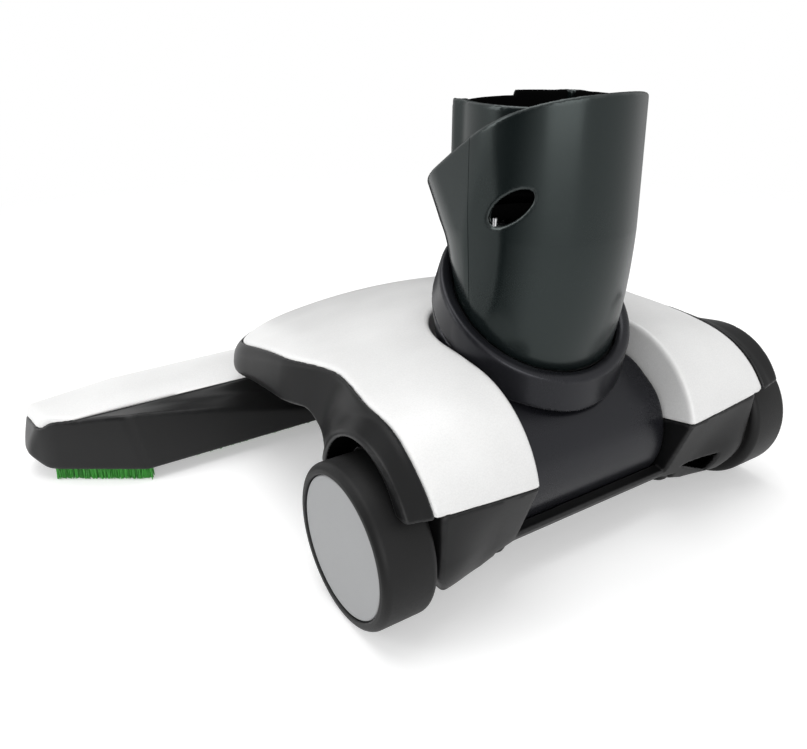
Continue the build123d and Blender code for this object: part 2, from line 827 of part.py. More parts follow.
def swivel_collar():
    """Ring round the foot of the neck, with a lip that holds the neck's flange down."""
    lip_top = -collar_lip_drop
    lip_low = -collar_lip_depth
    body = turned(
        [
            (0, 0),
            (collar_radius - fit_gap, 0),
            (collar_radius, lip_top),
            (collar_foot_radius, -collar_height),
            (0, -collar_height),
        ]
    )
    foot = ring_plane.offset(-collar_height) * Pos(0, -collar_apron) * Circle(collar_foot_radius)
    apron = loft([foot, ring_plane.offset(lip_top) * Circle(collar_radius)])
    rear_half = ring_plane * Box(far, far, far, align=(Align.CENTER, Align.MAX, Align.CENTER))
    body += apron & rear_half
    body -= turned(
        [
            (0, lip_low),
            (collar_lip_bore, lip_low),
            (collar_lip_bore, lip_top),
            (collar_bore, 0),
            (collar_bore, far),
            (0, far),
        ]
    )
    body -= turned([(0, lip_low), (collar_bore, lip_low), (collar_bore, -far), (0, -far)])
    half = barrel_half_width()
    return body - x_rod(barrel_radius, -half, half, pivot_y, pivot_z)


def swivel_base():
    """Flanged ring at the foot of the neck that turns inside the collar."""
    inner = neck_base_radius - neck_wall
    flange = collar_bore - run_gap
    low = run_gap - collar_height
    high = -collar_lip_depth - run_gap
    seal_low = (low + high - seal_width) / 2
    seal_high = (low + high + seal_width) / 2
    return turned(
        [
            (inner, low),
            (flange, low),
            (flange, seal_low),
            (flange - seal_depth, seal_low),
            (flange - seal_depth, seal_high),
            (flange, seal_high),
            (flange, high),
            (neck_base_radius, high),
            (neck_base_radius, -neck_base_drop),
            (inner, -neck_base_drop),
        ]
    )


def swivel_seal():
    """Seal ring in the groove of the neck's flange."""
    flange = collar_bore - run_gap
    low = run_gap - collar_height
    high = -collar_lip_depth - run_gap
    middle = (low + high) / 2
    return turned(
        [
            (flange - seal_depth, middle - seal_width / 2),
            (flange + run_gap / 4, middle - seal_width / 2),
            (flange + run_gap / 4, middle + seal_width / 2),
            (flange - seal_depth, middle + seal_width / 2),
        ]
    )


def neck_solid(inset):
    """Outside of the neck, or its inside when drawn in by the wall."""
    foot = ring_plane.offset(-neck_base_drop) * Circle(neck_base_radius - inset)
    middle = Pos(0, neck_y, neck_blend_z) * Circle(neck_radius - inset)
    top = Pos(0, neck_y, neck_rear_z + neck_wall) * Circle(neck_top_radius - inset)
    return loft([foot, middle]) + loft([middle, top], ruled=True)


def lip_section(z, shift, inset):
    """Plan of the lip at one height: the neck's circle drawn out forwards."""
    slot = Rot(0, 0, 90) * SlotCenterToCenter(shift, 2 * (neck_radius - inset))
    return Pos(0, neck_y + shift / 2, z) * slot


def lip_solid(inset):
    """Spout-like flare of the neck's front shell."""
    start = lip_section(lip_start_z, fit_gap, inset)
    end = lip_section(lip_end_z, lip_shift, inset)
    flare = loft([start, end], ruled=True) + extrude(end, far)
    return flare & block(-far, far, neck_y, far, 0, far)


def collar_room():
    """Room round the neck's foot so that it turns free of the collar's lip."""
    inner = collar_lip_bore - run_gap
    return turned([(inner, -collar_height), (far, -collar_height), (far, run_gap), (inner, run_gap)])


def above_rim():
    """Everything above the slanted rim of the neck's shells."""
    reach = neck_radius + lip_shift + neck_wall
    rim_line = Spline(
        (neck_y - reach, neck_rear_z + neck_wall / 4),
        (neck_y - neck_radius, neck_rear_z),
        (neck_y, neck_seam_z),
        (neck_y + neck_lip_y, neck_lip_z),
        (neck_y + reach, neck_front_z),
    )
    top = Polyline(
        (neck_y + reach, neck_front_z),
        (neck_y + reach, far),
        (neck_y - reach, far),
        (neck_y - reach, neck_rear_z + neck_wall / 4),
    )
    return extrude(Plane.YZ * make_face([rim_line, top]), far, both=True)


def neck_direction(angle):
    """Upright plane on the neck's axis that faces out at an angle from straight back, towards +x."""
    turn = radians(angle)
    out = Vector(sin(turn), -cos(turn), 0)
    return Plane(origin=(0, neck_y, 0), x_dir=(cos(turn), sin(turn), 0), z_dir=out)


def latch_window(grow):
    """Slanted eye-shaped window through the right side of the neck."""
    eye = Ellipse((window_length + grow) / 2, (window_height + grow) / 2)
    face = neck_direction(window_angle) * Pos(0, window_z) * Rot(0, 0, -window_slant) * eye
    return extrude(face, neck_radius + neck_wall)


def flat_facet():
    """What is shaved off between the seam and the crease on the right of the neck."""
    middle = (facet_angle + 90) / 2
    depth = neck_radius * cos(radians((90 - facet_angle) / 2))
    plane = neck_direction(middle).offset(depth)
    return extrude(plane * Pos(0, neck_rear_z) * Rectangle(far, 2 * (neck_rear_z - facet_low_z)), far)


def neck_rear_shell():
    """Rear half of the sleeve with the two latch windows."""
    body = neck_solid(0) - neck_solid(neck_wall)
    body &= block(-far, far, -far, neck_y - fit_gap / 2, 0, far)
    body -= above_rim()
    body -= collar_room()
    body -= both_sides(flat_facet() & block(0, far, -far, far, 0, far))
    body -= both_sides(latch_window(0))
    return body - both_sides(latch_pin_hole())


def neck_front_shell():
    """Front half of the sleeve, flared into a lip."""
    body = neck_solid(0) + lip_solid(0)
    body -= neck_solid(neck_wall)
    body -= lip_solid(neck_wall)
    body &= block(-far, far, neck_y + fit_gap / 2, far, 0, far)
    body -= both_sides(key_post(key_radius + fit_gap, socket_low_z))
    body -= collar_room()
    return body - above_rim()


def socket_tube():
    """Round socket for the wand, with a stop at its foot and a guide groove on each side."""
    low = (Align.CENTER, Align.CENTER, Align.MIN)
    height = socket_top_z - socket_low_z
    place = Pos(0, neck_y, socket_low_z)
    body = place * Cylinder(socket_radius, height, align=low)
    body += both_sides(key_post(key_radius, socket_low_z + neck_wall))
    body -= place * Pos(0, 0, socket_stop) * Cylinder(socket_bore, height, align=low)
    body -= place * Cylinder(socket_stop_bore, height, align=low)
    body -= both_sides(key_post(key_groove_radius, socket_low_z + socket_stop))
    notch_x = socket_radius * sin(radians(socket_notch_angle))
    notch_y = neck_y - (socket_bore + key_offset) * cos(radians(key_angle)) + key_radius / 2
    body -= block(-far, notch_x, notch_y, far, socket_top_z - socket_notch, far)
    return body - both_sides(latch_window(-neck_wall))


def key_post(radius, low_z):
    """Upright post on the right of the socket that carries, or cuts, a guide groove."""
    turn = radians(key_angle)
    centre = socket_bore + key_offset
    place = Pos(centre * sin(turn), neck_y - centre * cos(turn), low_z)
    return place * Cylinder(radius, socket_top_z - low_z, align=(Align.CENTER, Align.CENTER, Align.MIN))


def latch_pin_hole():
    """Drilling in the right of the rear shell for the latch pin."""
    turn = radians(latch_pin_angle)
    centre = neck_radius - latch_pin_inset
    place = Pos(centre * sin(turn), neck_y - centre * cos(turn), latch_pin_top_z - latch_pin_length)
    low = (Align.CENTER, Align.CENTER, Align.MIN)
    return place * Cylinder(latch_pin_radius, latch_pin_length, align=low)


def corner_strip():
    """Bristle strip under the right rear corner of the bar."""
    return bristle_strip(*corner_rail_line())


def pair(nodes, name, piece):
    """Name a right-hand piece and its mirror image."""
    nodes["right_" + name] = piece
    nodes["left_" + name] = mirror(piece, Plane.YZ)


def assembly():
    """Every named piece of the brush head, at rest."""
    nodes = {
        "top_cover": top_cover(),
        "upper_housing": upper_housing(),
        "rear_housing": rear_housing(),
        "suction_duct": suction_duct(),
        "nozzle_housing": nozzle_housing(),
        "nozzle_cover": nozzle_cover(),
        "sole_plate": sole_plate(),
        "rear_bristle_strip": bristle_strip(*rear_rail_line()),
        "tilt_barrel": tilt_barrel(),
        "swivel_collar": swivel_collar(),
        "swivel_base": swivel_base(),
        "swivel_seal": swivel_seal(),
        "neck_rear_shell": neck_rear_shell(),
        "neck_front_shell": neck_front_shell(),
        "socket_tube": socket_tube(),
    }
    pair(nodes, "bristle_strip", corner_strip())
    pair(nodes, "tyre", tyre())
    pair(nodes, "rim", rim())
    pair(nodes, "hub_cap", hub_cap())
    pair(nodes, "axle_pin", axle_pin())
    pair(nodes, "trunnion_bush", trunnion_bush())
    pair(nodes, "latch_pin", latch_pin_hole())
    housing_screw = screw(housing_screw_place(), rear_wall)
    nodes["housing_screws"] = Compound([housing_screw, mirror(housing_screw, Plane.YZ)])
    nodes["sole_screws"] = Compound([screw(place, screw_length / 2) for place in sole_screw_places()])
    return nodes


os.makedirs("parts", exist_ok=True)
middle_y = (bar_front_y - wheel_radius) / 2
for node_name, node_shape in assembly().items():
    export_step(Pos(0, -middle_y, 0) * node_shape, "parts/" + node_name + ".step")
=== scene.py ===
# %% [markdown]
# # A vacuum floor brush head, dressed in Blender
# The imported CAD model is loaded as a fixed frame, so every piece made here sits where the solids sit.
# Lengths are written in millimetres from the wheel axle: x across, y forwards, z up from the floor.
# They become metres when a piece is added. The camera and the studio are written in metres.

# %% Load the frame
import json
import math

import bmesh
import bpy
import numpy as np
from mathutils import Matrix, Vector


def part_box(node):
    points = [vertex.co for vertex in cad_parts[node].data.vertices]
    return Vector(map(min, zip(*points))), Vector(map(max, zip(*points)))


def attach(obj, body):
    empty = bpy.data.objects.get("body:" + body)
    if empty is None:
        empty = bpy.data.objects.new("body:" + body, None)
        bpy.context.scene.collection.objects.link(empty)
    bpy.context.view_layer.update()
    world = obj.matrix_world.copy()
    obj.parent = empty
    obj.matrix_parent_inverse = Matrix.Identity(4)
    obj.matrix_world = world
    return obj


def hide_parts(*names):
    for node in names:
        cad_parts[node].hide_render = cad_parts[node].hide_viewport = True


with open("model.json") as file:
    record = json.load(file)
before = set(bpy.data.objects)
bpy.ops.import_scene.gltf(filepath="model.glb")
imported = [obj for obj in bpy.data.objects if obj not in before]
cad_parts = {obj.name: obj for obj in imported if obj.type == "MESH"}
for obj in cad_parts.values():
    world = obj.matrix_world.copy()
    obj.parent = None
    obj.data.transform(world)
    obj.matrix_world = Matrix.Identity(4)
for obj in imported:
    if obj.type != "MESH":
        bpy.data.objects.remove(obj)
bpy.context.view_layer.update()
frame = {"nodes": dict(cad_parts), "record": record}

millimetre = 0.001
axle_z = 26.2
tyre_low, tyre_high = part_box("left_tyre")
axle_place = np.array([0.0, (tyre_low[1] + tyre_high[1]) / 2, 0.0])
print("nodes", len(frame["nodes"]), "axle at y", round(axle_place[1], 4))

# %% [markdown]
# ## The camera
# The camera was fitted to the photograph from edges whose real place is known: the wheel, the ends of the
# bar and the ring of the swivel. It stands behind the left wheel, about a third of a turn round, and looks
# down by some 25 degrees. It comes first, because every later choice of detail is made through it.

# %% Camera
camera_place = (-0.175463, -0.234946, 0.171444)
camera_right = Vector((0.83933, -0.54363, 0.0))
camera_up = Vector((0.23259, 0.35910, 0.90385))
camera_lens = 34.635


def put(name, data):
    """A new object in the scene, made from the data of a mesh, a lamp or a camera."""
    thing = bpy.data.objects.new(name, data)
    bpy.context.scene.collection.objects.link(thing)
    return thing


camera = put("camera", bpy.data.cameras.new("camera"))
camera.data.lens = camera_lens
camera.data.sensor_width = 36.0
camera.data.sensor_fit = "HORIZONTAL"
camera.data.clip_start = 0.01
backwards = camera_right.cross(camera_up)
turn = Matrix((camera_right, camera_up, backwards)).transposed()
camera.matrix_world = Matrix.Translation(camera_place) @ turn.to_4x4()
bpy.context.scene.camera = camera
bpy.context.scene.view_settings.view_transform = "Standard"
print("camera looks along", [round(v, 3) for v in -backwards])

# %% [markdown]
# ## Sums on sockets
# A procedural material is a small calculation on the surface: a noise, less a threshold, times a mask.
# Drawn as nodes by hand that is slow to read. Wrapping a socket in a class with the usual operators lets
# the calculation be written as a line of Python, and each operator adds its Math node.

# %% A socket that can be added and multiplied
class Wire:
    """One output socket of a material, with sums that add Math nodes."""

    def __init__(self, tree, socket):
        self.tree = tree
        self.socket = socket

    def add_node(self, kind, settings=None, values=None, output=0):
        """Add any node: its settings first, then the values or links of its sockets."""
        node = self.tree.nodes.new(kind)
        for name, setting in (settings or {}).items():
            setattr(node, name, setting)
        for name, value in (values or {}).items():
            if isinstance(value, Wire):
                self.tree.links.new(value.socket, node.inputs[name])
            else:
                node.inputs[name].default_value = value
        return Wire(self.tree, node.outputs[output])

    def calculate(self, operation, first, second=0.0):
        return self.add_node("ShaderNodeMath", {"operation": operation}, {0: first, 1: second})

    def __add__(self, other):
        return self.calculate("ADD", self, other)

    def __sub__(self, other):
        return self.calculate("SUBTRACT", self, other)

    def __rsub__(self, other):
        return self.calculate("SUBTRACT", other, self)

    def __mul__(self, other):
        return self.calculate("MULTIPLY", self, other)

    __radd__ = __add__
    __rmul__ = __mul__

    def limited(self, low=0.0, high=1.0):
        """The value held between two limits."""
        return self.calculate("MAXIMUM", self.calculate("MINIMUM", self, high), low)

    def ramp(self, low, high):
        """0 below one value and 1 above another, eased between them."""
        settings = {"interpolation_type": "SMOOTHSTEP"}
        values = {"Value": self, "From Min": low, "From Max": high}
        return self.add_node("ShaderNodeMapRange", settings, values)

    def mixed(self, low, high):
        """Between two colours, with this value as the share of the second."""
        factor, first, second, result = 0, 6, 7, 2
        values = {factor: self, first: low, second: high}
        return self.add_node("ShaderNodeMix", {"data_type": "RGBA"}, values, result)

    def noise(self, size, detail=2.0, roughness=0.5):
        """A cloudy pattern on these coordinates, with lumps of about a size in millimetres."""
        values = {"Vector": self, "Scale": 1.0 / (size * millimetre)}
        values.update({"Detail": detail, "Roughness": roughness})
        return self.add_node("ShaderNodeTexNoise", {}, values)

    def stretched(self, x, y, z):
        """The coordinates scaled along each axis."""
        return self.add_node("ShaderNodeMapping", {}, {"Vector": self, "Scale": (x, y, z)})

    def attribute(self, name):
        """A value that the mesh carries at its points."""
        return self.add_node("ShaderNodeAttribute", {"attribute_name": name}, {}, "Fac")


print("socket sums ready")

# %% [markdown]
# ## Moulded plastic
# Nearly everything here is injection-moulded plastic. What makes it look moulded is small: a fine grain
# from the steel of the mould, a slight wander of the gloss, and edges that are rubbed a little lighter.
# The pieces made below carry an attribute called edge, which is high where the surface turns sharply,
# so wear can follow the real edges from any side.

# %% Finishes
white, opaque = (1.0, 1.0, 1.0), (1.0,)
# Near-black painted shade for the inner faces of the wheel wells, the rear boxes and the neck's bore
painted_shade_colour = (0.003, 0.003, 0.003)
wear_share = 0.6


def fill(node, **values):
    """Set a node's sockets to plain values."""
    for name, value in values.items():
        node.inputs[name.replace("_", " ")].default_value = value


def start_finish(name):
    """A new material and its object coordinates."""
    material = bpy.data.materials.new(name)
    material.use_nodes = True
    tree = material.node_tree
    coordinates = tree.nodes.new("ShaderNodeTexCoord")
    return material, Wire(tree, coordinates.outputs["Object"])


def end_finish(material, colour, rough, height, depth, **plain):
    """Feed the surface's shader: varying colour, gloss and relief, and plain numbers on its own sockets."""
    shader = material.node_tree.nodes["Principled BSDF"]
    links = material.node_tree.links
    links.new(colour.socket, shader.inputs["Base Color"])
    links.new(rough.socket, shader.inputs["Roughness"])
    values = {"Strength": 0.5, "Distance": depth * millimetre, "Height": height}
    relief = height.add_node("ShaderNodeBump", {}, values)
    links.new(relief.socket, shader.inputs["Normal"])
    fill(shader, **plain)
    return material


def moulded_plastic(name, colour, worn, gloss, grain, grain_depth, specular=0.5, tint=white, hollow=False):
    """Moulded plastic: cloudy colour, mould grain, wandering gloss and rubbed edges.

    On a hollow piece, what its mesh marks as inner is painted near-black as shade, with a plain diffuse
    shader."""
    material, place = start_finish(name)
    cloud = place.noise(24.0, 3.0)
    fine = place.noise(grain, 2.0, 0.6)
    rubbing = place.noise(3.0, 4.0, 0.7)
    edge = place.attribute("edge")
    wear = ((edge * (0.35 + rubbing)).ramp(0.35, 1.1) * wear_share).limited()
    darker = tuple(0.9 * part for part in colour)
    tone = (0.5 * cloud + 0.5 * fine).ramp(0.3, 0.7).mixed(darker + opaque, colour + opaque)
    shade = wear.mixed(tone, worn + opaque)
    rough = gloss + 0.16 * (cloud - 0.5) + 0.12 * (fine - 0.5) - 0.08 * wear
    if hollow:
        # Painted shade: faces marked inner are mixed into a near-black diffuse shader
        painted_shade_share = place.attribute("inner").ramp(0.4, 0.6)
        painted_shade = place.add_node("ShaderNodeBsdfDiffuse", {}, {"Color": painted_shade_colour + opaque})
        shader = Wire(place.tree, place.tree.nodes["Principled BSDF"].outputs[0])
        with_painted_shade = place.add_node("ShaderNodeMixShader", {}, {0: painted_shade_share, 1: shader, 2: painted_shade})
        place.tree.links.new(with_painted_shade.socket, place.tree.nodes["Material Output"].inputs["Surface"])
    sockets = {"Specular_IOR_Level": specular, "Specular_Tint": tint + opaque}
    return end_finish(material, shade, rough.limited(0.05, 0.95), fine + 0.3 * cloud, grain_depth, **sockets)


print("moulded plastic ready")

# %% The plastics and rubbers
plastics = {
    "pale_shell": ((0.80, 0.80, 0.795), (0.86, 0.86, 0.85), 0.34, 0.5, 0.012),
    "dark_shell": ((0.0065, 0.0066, 0.0069), (0.035, 0.035, 0.036), 0.4, 0.45, 0.03, 0.29),
    # With hollow set, the guard and dark_neck finishes paint faces marked inner near-black as shade
    "guard": ((0.006, 0.0061, 0.0064), (0.035, 0.035, 0.036), 0.4, 0.45, 0.03, 0.18, white, True),
    "dark_joint": (
        (0.0075, 0.0077, 0.0096), (0.04, 0.04, 0.043), 0.3, 0.45, 0.02, 0.28, (0.92, 0.93, 1.0)),
    "dark_neck": (
        (0.0055, 0.0082, 0.0083), (0.045, 0.05, 0.05), 0.24, 0.4, 0.004, 0.4, (0.88, 1.0, 0.98), True),
    "swivel": ((0.004, 0.0042, 0.0044), (0.02, 0.02, 0.02), 0.6, 0.5, 0.02, 0.15),
    "sole": ((0.03, 0.03, 0.031), (0.11, 0.11, 0.11), 0.42, 0.6, 0.04),
    "wheel_core": ((0.025, 0.025, 0.026), (0.08, 0.08, 0.08), 0.5, 0.6, 0.05),
    "bush": ((0.42, 0.41, 0.38), (0.55, 0.54, 0.5), 0.4, 0.5, 0.02),
    "hub_grey": ((0.32, 0.325, 0.33), (0.46, 0.46, 0.46), 0.5, 0.35, 0.03),
}
rubbers = {
    "tread": ((0.0075, 0.0075, 0.0077), (0.035, 0.035, 0.035), 0.52, 0.8, 0.06, 0.2),
    "seal": ((0.012, 0.012, 0.013), (0.04, 0.04, 0.04), 0.7, 0.7, 0.06, 0.3),
}
finishes = {}
for kind, rows in (("_plastic", plastics), ("_rubber", rubbers)):
    finishes.update({slot: moulded_plastic(slot + kind, *row) for slot, row in rows.items()})
print("plastics and rubbers", len(finishes))

# %% [markdown]
# ## Steel and bristles
# The axle pins, latch pins and screws are bright steel with fine lines from side to side. The bristles are
# green nylon, each one a little lighter or darker than its neighbour, so the finish reads an attribute
# that the bristle maker gives every filament.

# %% Steel and nylon
def drawn_steel():
    """Bright steel with fine drawn lines."""
    material, place = start_finish("drawn_steel")
    lines = place.stretched(0.08, 1.0, 1.0).noise(0.5, 3.0, 0.7)
    cloud = place.noise(4.0, 3.0)
    shade = lines.mixed((0.46, 0.46, 0.47, 1), (0.66, 0.66, 0.67, 1))
    rough = (0.24 + 0.2 * (cloud - 0.4) + 0.1 * lines).limited(0.1, 0.6)
    return end_finish(material, shade, rough, lines, 0.01, Metallic=1.0)


def green_nylon():
    """Green filaments that differ a little in tone, with faint streaks along them."""
    material, place = start_finish("green_nylon")
    tone = place.attribute("tone")
    streak = place.stretched(1.0, 1.0, 0.15).noise(0.4, 2.0)
    shade = (0.7 * tone + 0.3 * streak).ramp(0.1, 0.9).mixed((0.012, 0.13, 0.008, 1), (0.05, 0.36, 0.04, 1))
    rough = 0.38 + 0.2 * streak
    return end_finish(material, shade, rough, streak, 0.02)


finishes["steel"] = drawn_steel()
finishes["bristle"] = green_nylon()
print("finishes", len(finishes))

# %% [markdown]
# ## A mesher for moulded shapes
# A moulded shell has no sharp edge: the mould's corners are rounded and ribs flow into walls. One way to
# get that is to bevel a mesh, which breaks where many edges meet. Another is to describe the piece by its
# distance: a function that is negative inside the plastic, and zero on its skin. Two such functions can be
# joined or cut with a soft blend, and the blend is the moulded radius. The mesher samples the function on
# a grid, puts one point in every cell that the skin crosses, and slides the points onto the skin.

# %% Soft joins and cuts
def both(first, second, blend=0.0):
    """What two shapes share, with the edge between them rounded."""
    if np.all(blend == 0.0):
        return np.maximum(first, second)
    share = np.clip(0.5 + 0.5 * (first - second) / blend, 0.0, 1.0)
    return second + (first - second) * share + blend * share * (1.0 - share)


def joined(first, second, blend=0.0):
    """Two shapes as one, with a fillet between them."""
    return -both(-first, -second, blend)


def cut(shape, tool, blend=0.0):
    """A shape with a tool taken out of it."""
    return both(shape, -tool, blend)


def within(value, low, high):
    """How far a value is outside a range."""
    return np.maximum(low - value, value - high)


def eased(value, low, high):
    """0 at one value, 1 at another, with level ends."""
    share = np.clip((value - low) / (high - low), 0.0, 1.0)
    return share * share * (3.0 - 2.0 * share)


def sine_cosine(degrees):
    """Sine and cosine of an angle."""
    angle = math.radians(degrees)
    return math.sin(angle), math.cos(angle)


def line_side(y, z, start, end):
    """Distance to the left of a line from start to end in a plane."""
    run, rise = end[0] - start[0], end[1] - start[1]
    return ((z - start[1]) * run - (y - start[0]) * rise) / np.hypot(run, rise)


print("soft joins ready")

# %% The mesher
corner_steps = [(i, j, k) for i in (0, 1) for j in (0, 1) for k in (0, 1)]
cell_edges = [(a, b) for a in corner_steps for b in corner_steps if sum(b) - sum(a) == 1
              and all(q >= p for p, q in zip(a, b))]
slides, slope_reach = 3, 0.05


def slope(shape, points, reach):
    """Value, slope and bend of a shape at points."""
    x, y, z = points.T
    value = shape(x, y, z)
    sides = []
    for axis in range(3):
        shift = np.zeros(3)
        shift[axis] = reach
        sides.append((shape(*(points + shift).T), shape(*(points - shift).T)))
    gradient = np.stack([(up - down) / (2.0 * reach) for up, down in sides], axis=1)
    bend = sum(up + down - 2.0 * value for up, down in sides) / reach**2
    return value, gradient, bend


def skin_points(shape, field, cells, low, step):
    """One point in each crossed cell, slid onto the skin."""
    total = np.zeros((len(cells), 3))
    count = np.zeros((len(cells), 1))
    for start, end in cell_edges:
        first = field[tuple((cells + start).T)]
        second = field[tuple((cells + end).T)]
        crossed = (first < 0) != (second < 0)
        share = np.where(crossed, first / np.where(crossed, first - second, 1.0), 0.0)[:, None]
        spot = cells + np.array(start) + share * (np.array(end) - np.array(start))
        total += np.where(crossed[:, None], spot, 0.0)
        count += crossed[:, None]
    points = low + total / count * step
    farthest = 0.4 * step
    for _ in range(slides):
        value, gradient = slope(shape, points, slope_reach)[:2]
        size = np.maximum((gradient**2).sum(axis=1), 0.2)
        move = -(value / size)[:, None] * gradient
        points += np.clip(move, -farthest, farthest)
    return points


def skin_faces(inside, index):
    """A four-sided face across every grid edge that the skin crosses."""
    faces = []
    for axis in range(3):
        side, over = (axis + 1) % 3, (axis + 2) % 3
        count = inside.shape[axis]
        first = np.take(inside, np.arange(count - 1), axis)
        second = np.take(inside, np.arange(1, count), axis)
        places = np.argwhere(first != second)
        room = (places[:, side] > 0) & (places[:, over] > 0)
        room &= (places[:, side] < inside.shape[side] - 1) & (places[:, over] < inside.shape[over] - 1)
        places = places[room]
        corners = []
        for back, down in ((1, 1), (0, 1), (0, 0), (1, 0)):
            shift = np.zeros(3, int)
            shift[side], shift[over] = back, down
            corners.append(index[tuple((places - shift).T)])
        quad = np.stack(corners, axis=1)
        outward = first[tuple(places.T)]
        faces.append(np.where(outward[:, None], quad, quad[:, ::-1]))
    return np.concatenate(faces)


print("cell edges", len(cell_edges))

# %% Pieces
def add_piece(name, points, faces, body, slot, node, look=None, **marks):
    """A mesh in millimetres from the axle, made a piece that rides on a body and stands for a CAD node.

    It takes the finish of its slot, or the finish that look names."""
    mesh = bpy.data.meshes.new(name)
    mesh.from_pydata(points * millimetre + axle_place, [], faces)
    mesh.shade_smooth()
    for mark, values in marks.items():
        mesh.attributes.new(mark, "FLOAT", "POINT").data.foreach_set("value", values.astype(np.float32))
    mesh.materials.append(finishes[look or slot])
    mesh.update()
    piece = put(name, mesh)
    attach(piece, body)
    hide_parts(node)
    return piece


def mould(name, shape, low, high, step, body, slot, node, look=None, core=None):
    """Mesh a distance shape inside a box and add it as a piece. What lies in a core is marked as inner, which
    hollow finishes paint near-black as shade.
    """
    low = np.array(low, float) - 1.5 * step
    axes = [np.arange(start, end + 2.0 * step, step) for start, end in zip(low, high)]
    field = shape(*np.meshgrid(*axes, indexing="ij", sparse=True))
    inside = field < 0
    size = tuple(count - 1 for count in field.shape)
    filled = np.zeros(size, int)
    for i, j, k in corner_steps:
        filled += inside[i:size[0] + i, j:size[1] + j, k:size[2] + k]
    crossed = (filled > 0) & (filled < len(corner_steps))
    cells = np.argwhere(crossed)
    index = np.full(size, -1)
    index[crossed] = np.arange(len(cells))
    points = skin_points(shape, field, cells, low, step)
    faces = skin_faces(inside, index)
    marks = {"edge": np.clip(slope(shape, points, 0.5 * step)[2], 0.0, 2.0)}
    if core:
        marks["inner"] = 1.0 * (core(*points.T) < 0)
    piece = add_piece(name, points, faces, body, slot, node, look, **marks)
    print(name, "points", len(points), "faces", len(faces))
    return piece


def trimmed(piece, place, normal):
    """Cut a piece along a plane, keep what lies behind it, and close the cut with a crisp edge."""
    work = bmesh.new()
    work.from_mesh(piece.data)
    everything = work.verts[:] + work.edges[:] + work.faces[:]
    spot = Vector(place) * millimetre + Vector(axle_place)
    result = bmesh.ops.bisect_plane(work, geom=everything, plane_co=spot, plane_no=normal, clear_outer=True)
    rim = [part for part in result["geom_cut"] if isinstance(part, bmesh.types.BMEdge)]
    bmesh.ops.edgenet_fill(work, edges=rim)
    for edge in rim:
        edge.smooth = False
    work.to_mesh(piece.data)
    work.free()
    return piece


print("mesher ready")

# %% [markdown]
# ## The hood's surface
# The pale hood and the dark housing under it share one skin: a drum behind that runs into a long, nearly flat
# roof. Towards each side the whole section sinks and moves back a little, which crowns the roof but leaves
# the rear edge almost straight. Writing that skin once, as a height above it, keeps the two pieces flush.

# %% The shared skin and outline
pivot_y, pivot_z = 10.8, 32.1
crown_inner, crown_outer = 35.0, 73.0
drum_radius, roof_radius = 37.2, 240.0
side_back, side_drop, side_shrink = 4.4, 6.25, 0.6
blend_sin, blend_cos = sine_cosine(7.0)
edge_sin, edge_cos = sine_cosine(77.0)
rear_edge_lift, rear_edge_rise = 1.17, 0.087
hood_wall = 2.2
slot_half_width, slot_round_y = 34.8, 24.0


def above_hood(x, y, z):
    """Distance above the hood's skin."""
    share = (x * x - crown_inner**2) / (crown_outer**2 - crown_inner**2)
    ahead, over = y - pivot_y + side_back * share, z - pivot_z + side_drop * share
    radius = drum_radius - side_shrink * share
    drop = roof_radius - radius
    drum = np.hypot(ahead, over) - radius
    roof = np.hypot(ahead - drop * blend_sin, over + drop * blend_cos) - roof_radius
    return np.where(ahead * blend_cos + over * blend_sin < 0, drum, roof)


def beyond_plan(x, y):
    """Distance outside the hood's outline, seen from above."""
    front_y, front_radius = 65.0, 87.0
    half = 73.2 - 1.2 * eased(y, -18.0, 4.0) - 2.6 * eased(y, 10.0, 36.0) + 5.6 * eased(y, 34.0, 66.0)
    front = np.hypot(x, np.maximum(y - front_y, 0.0)) - front_radius
    return both(np.abs(x) - half, front, 6.0)


def beyond_slot(x, y):
    """Distance outside the slot that the barrel stands in."""
    return np.hypot(x, np.maximum(y - slot_round_y, 0.0)) - slot_half_width


def below_rear_edge(x, y, z):
    """Distance below the sloping rear edge of the hood, which rises towards the sides."""
    lift = rear_edge_lift + rear_edge_rise * np.maximum(np.abs(x) - crown_inner, 0.0)
    return lift - (y - pivot_y) * edge_cos - (z - pivot_z) * edge_sin


print("roof radius", roof_radius)

# %% [markdown]
# ## The hood
# A thin white shell with a deep slot. One small blend eases its outer edge and the lip of the slot alike.
# The hollow stops short of the slot, which leaves a wall round it that hides the inside.

# %% Hood
def hood(x, y, z):
    top = above_hood(x, y, z)
    plan = beyond_plan(x, y)
    slot = beyond_slot(x, y)
    solid = both(both(top, plan, 1.4), -slot, 1.4)
    hollow = both(top + hood_wall, hood_wall - slot, 1.0)
    shell = both(cut(solid, hollow, 0.6), below_rear_edge(x, y, z), 1.0)
    foot = 33.0 + 8.0 * eased(y, -2.0, 6.0) + 5.0 * eased(y, 22.0, 28.0)
    return cut(shell, both(z - foot, slot - hood_wall - 0.4), 0.5)


mould("top_cover_shell", hood, (-77, -32, 31), (77, 154, 73), 1.0, "base", "pale_shell", "top_cover")

# %% [markdown]
# ## The dark upper housing
# It carries the hood on a ledge and shows as a dark band all round. Over each wheel the band swells into a
# guard. On the moulding there is no line between guard and band, so the two are joined with a fillet that
# widens forwards. The wheel's well is cut after that, and its small radius reads as the guard's rounded rim.

# %% The nozzle bar's section, needed to clear the bar
bar_half_length, bar_floor = 156.6, 5.0
sweep_start, sweep_end, tip_end = (118.0, 109.0), (149.5, 129.5), (156.6, 138.0)
bar_edge_y, bar_edge_z = 123.0, 27.3
crest_y, nose_y, nose_z = 138.0, 166.0, 16.0


def bar_outline(x, y):
    """Distance outside the bar seen from above."""
    ax = np.abs(x)
    swept = line_side(ax, y, sweep_end, sweep_start)
    tip = line_side(ax, y, tip_end, sweep_end)
    corner = line_side(ax, y, (148.0, 157.5), (bar_half_length, 148.0))
    front = np.hypot(x, y + 1831.1) - 1994.1
    side = both(both(swept, tip, 1.2), ax - bar_half_length, 2.0)
    return both(both(side, corner, 4.0), front, 3.0)


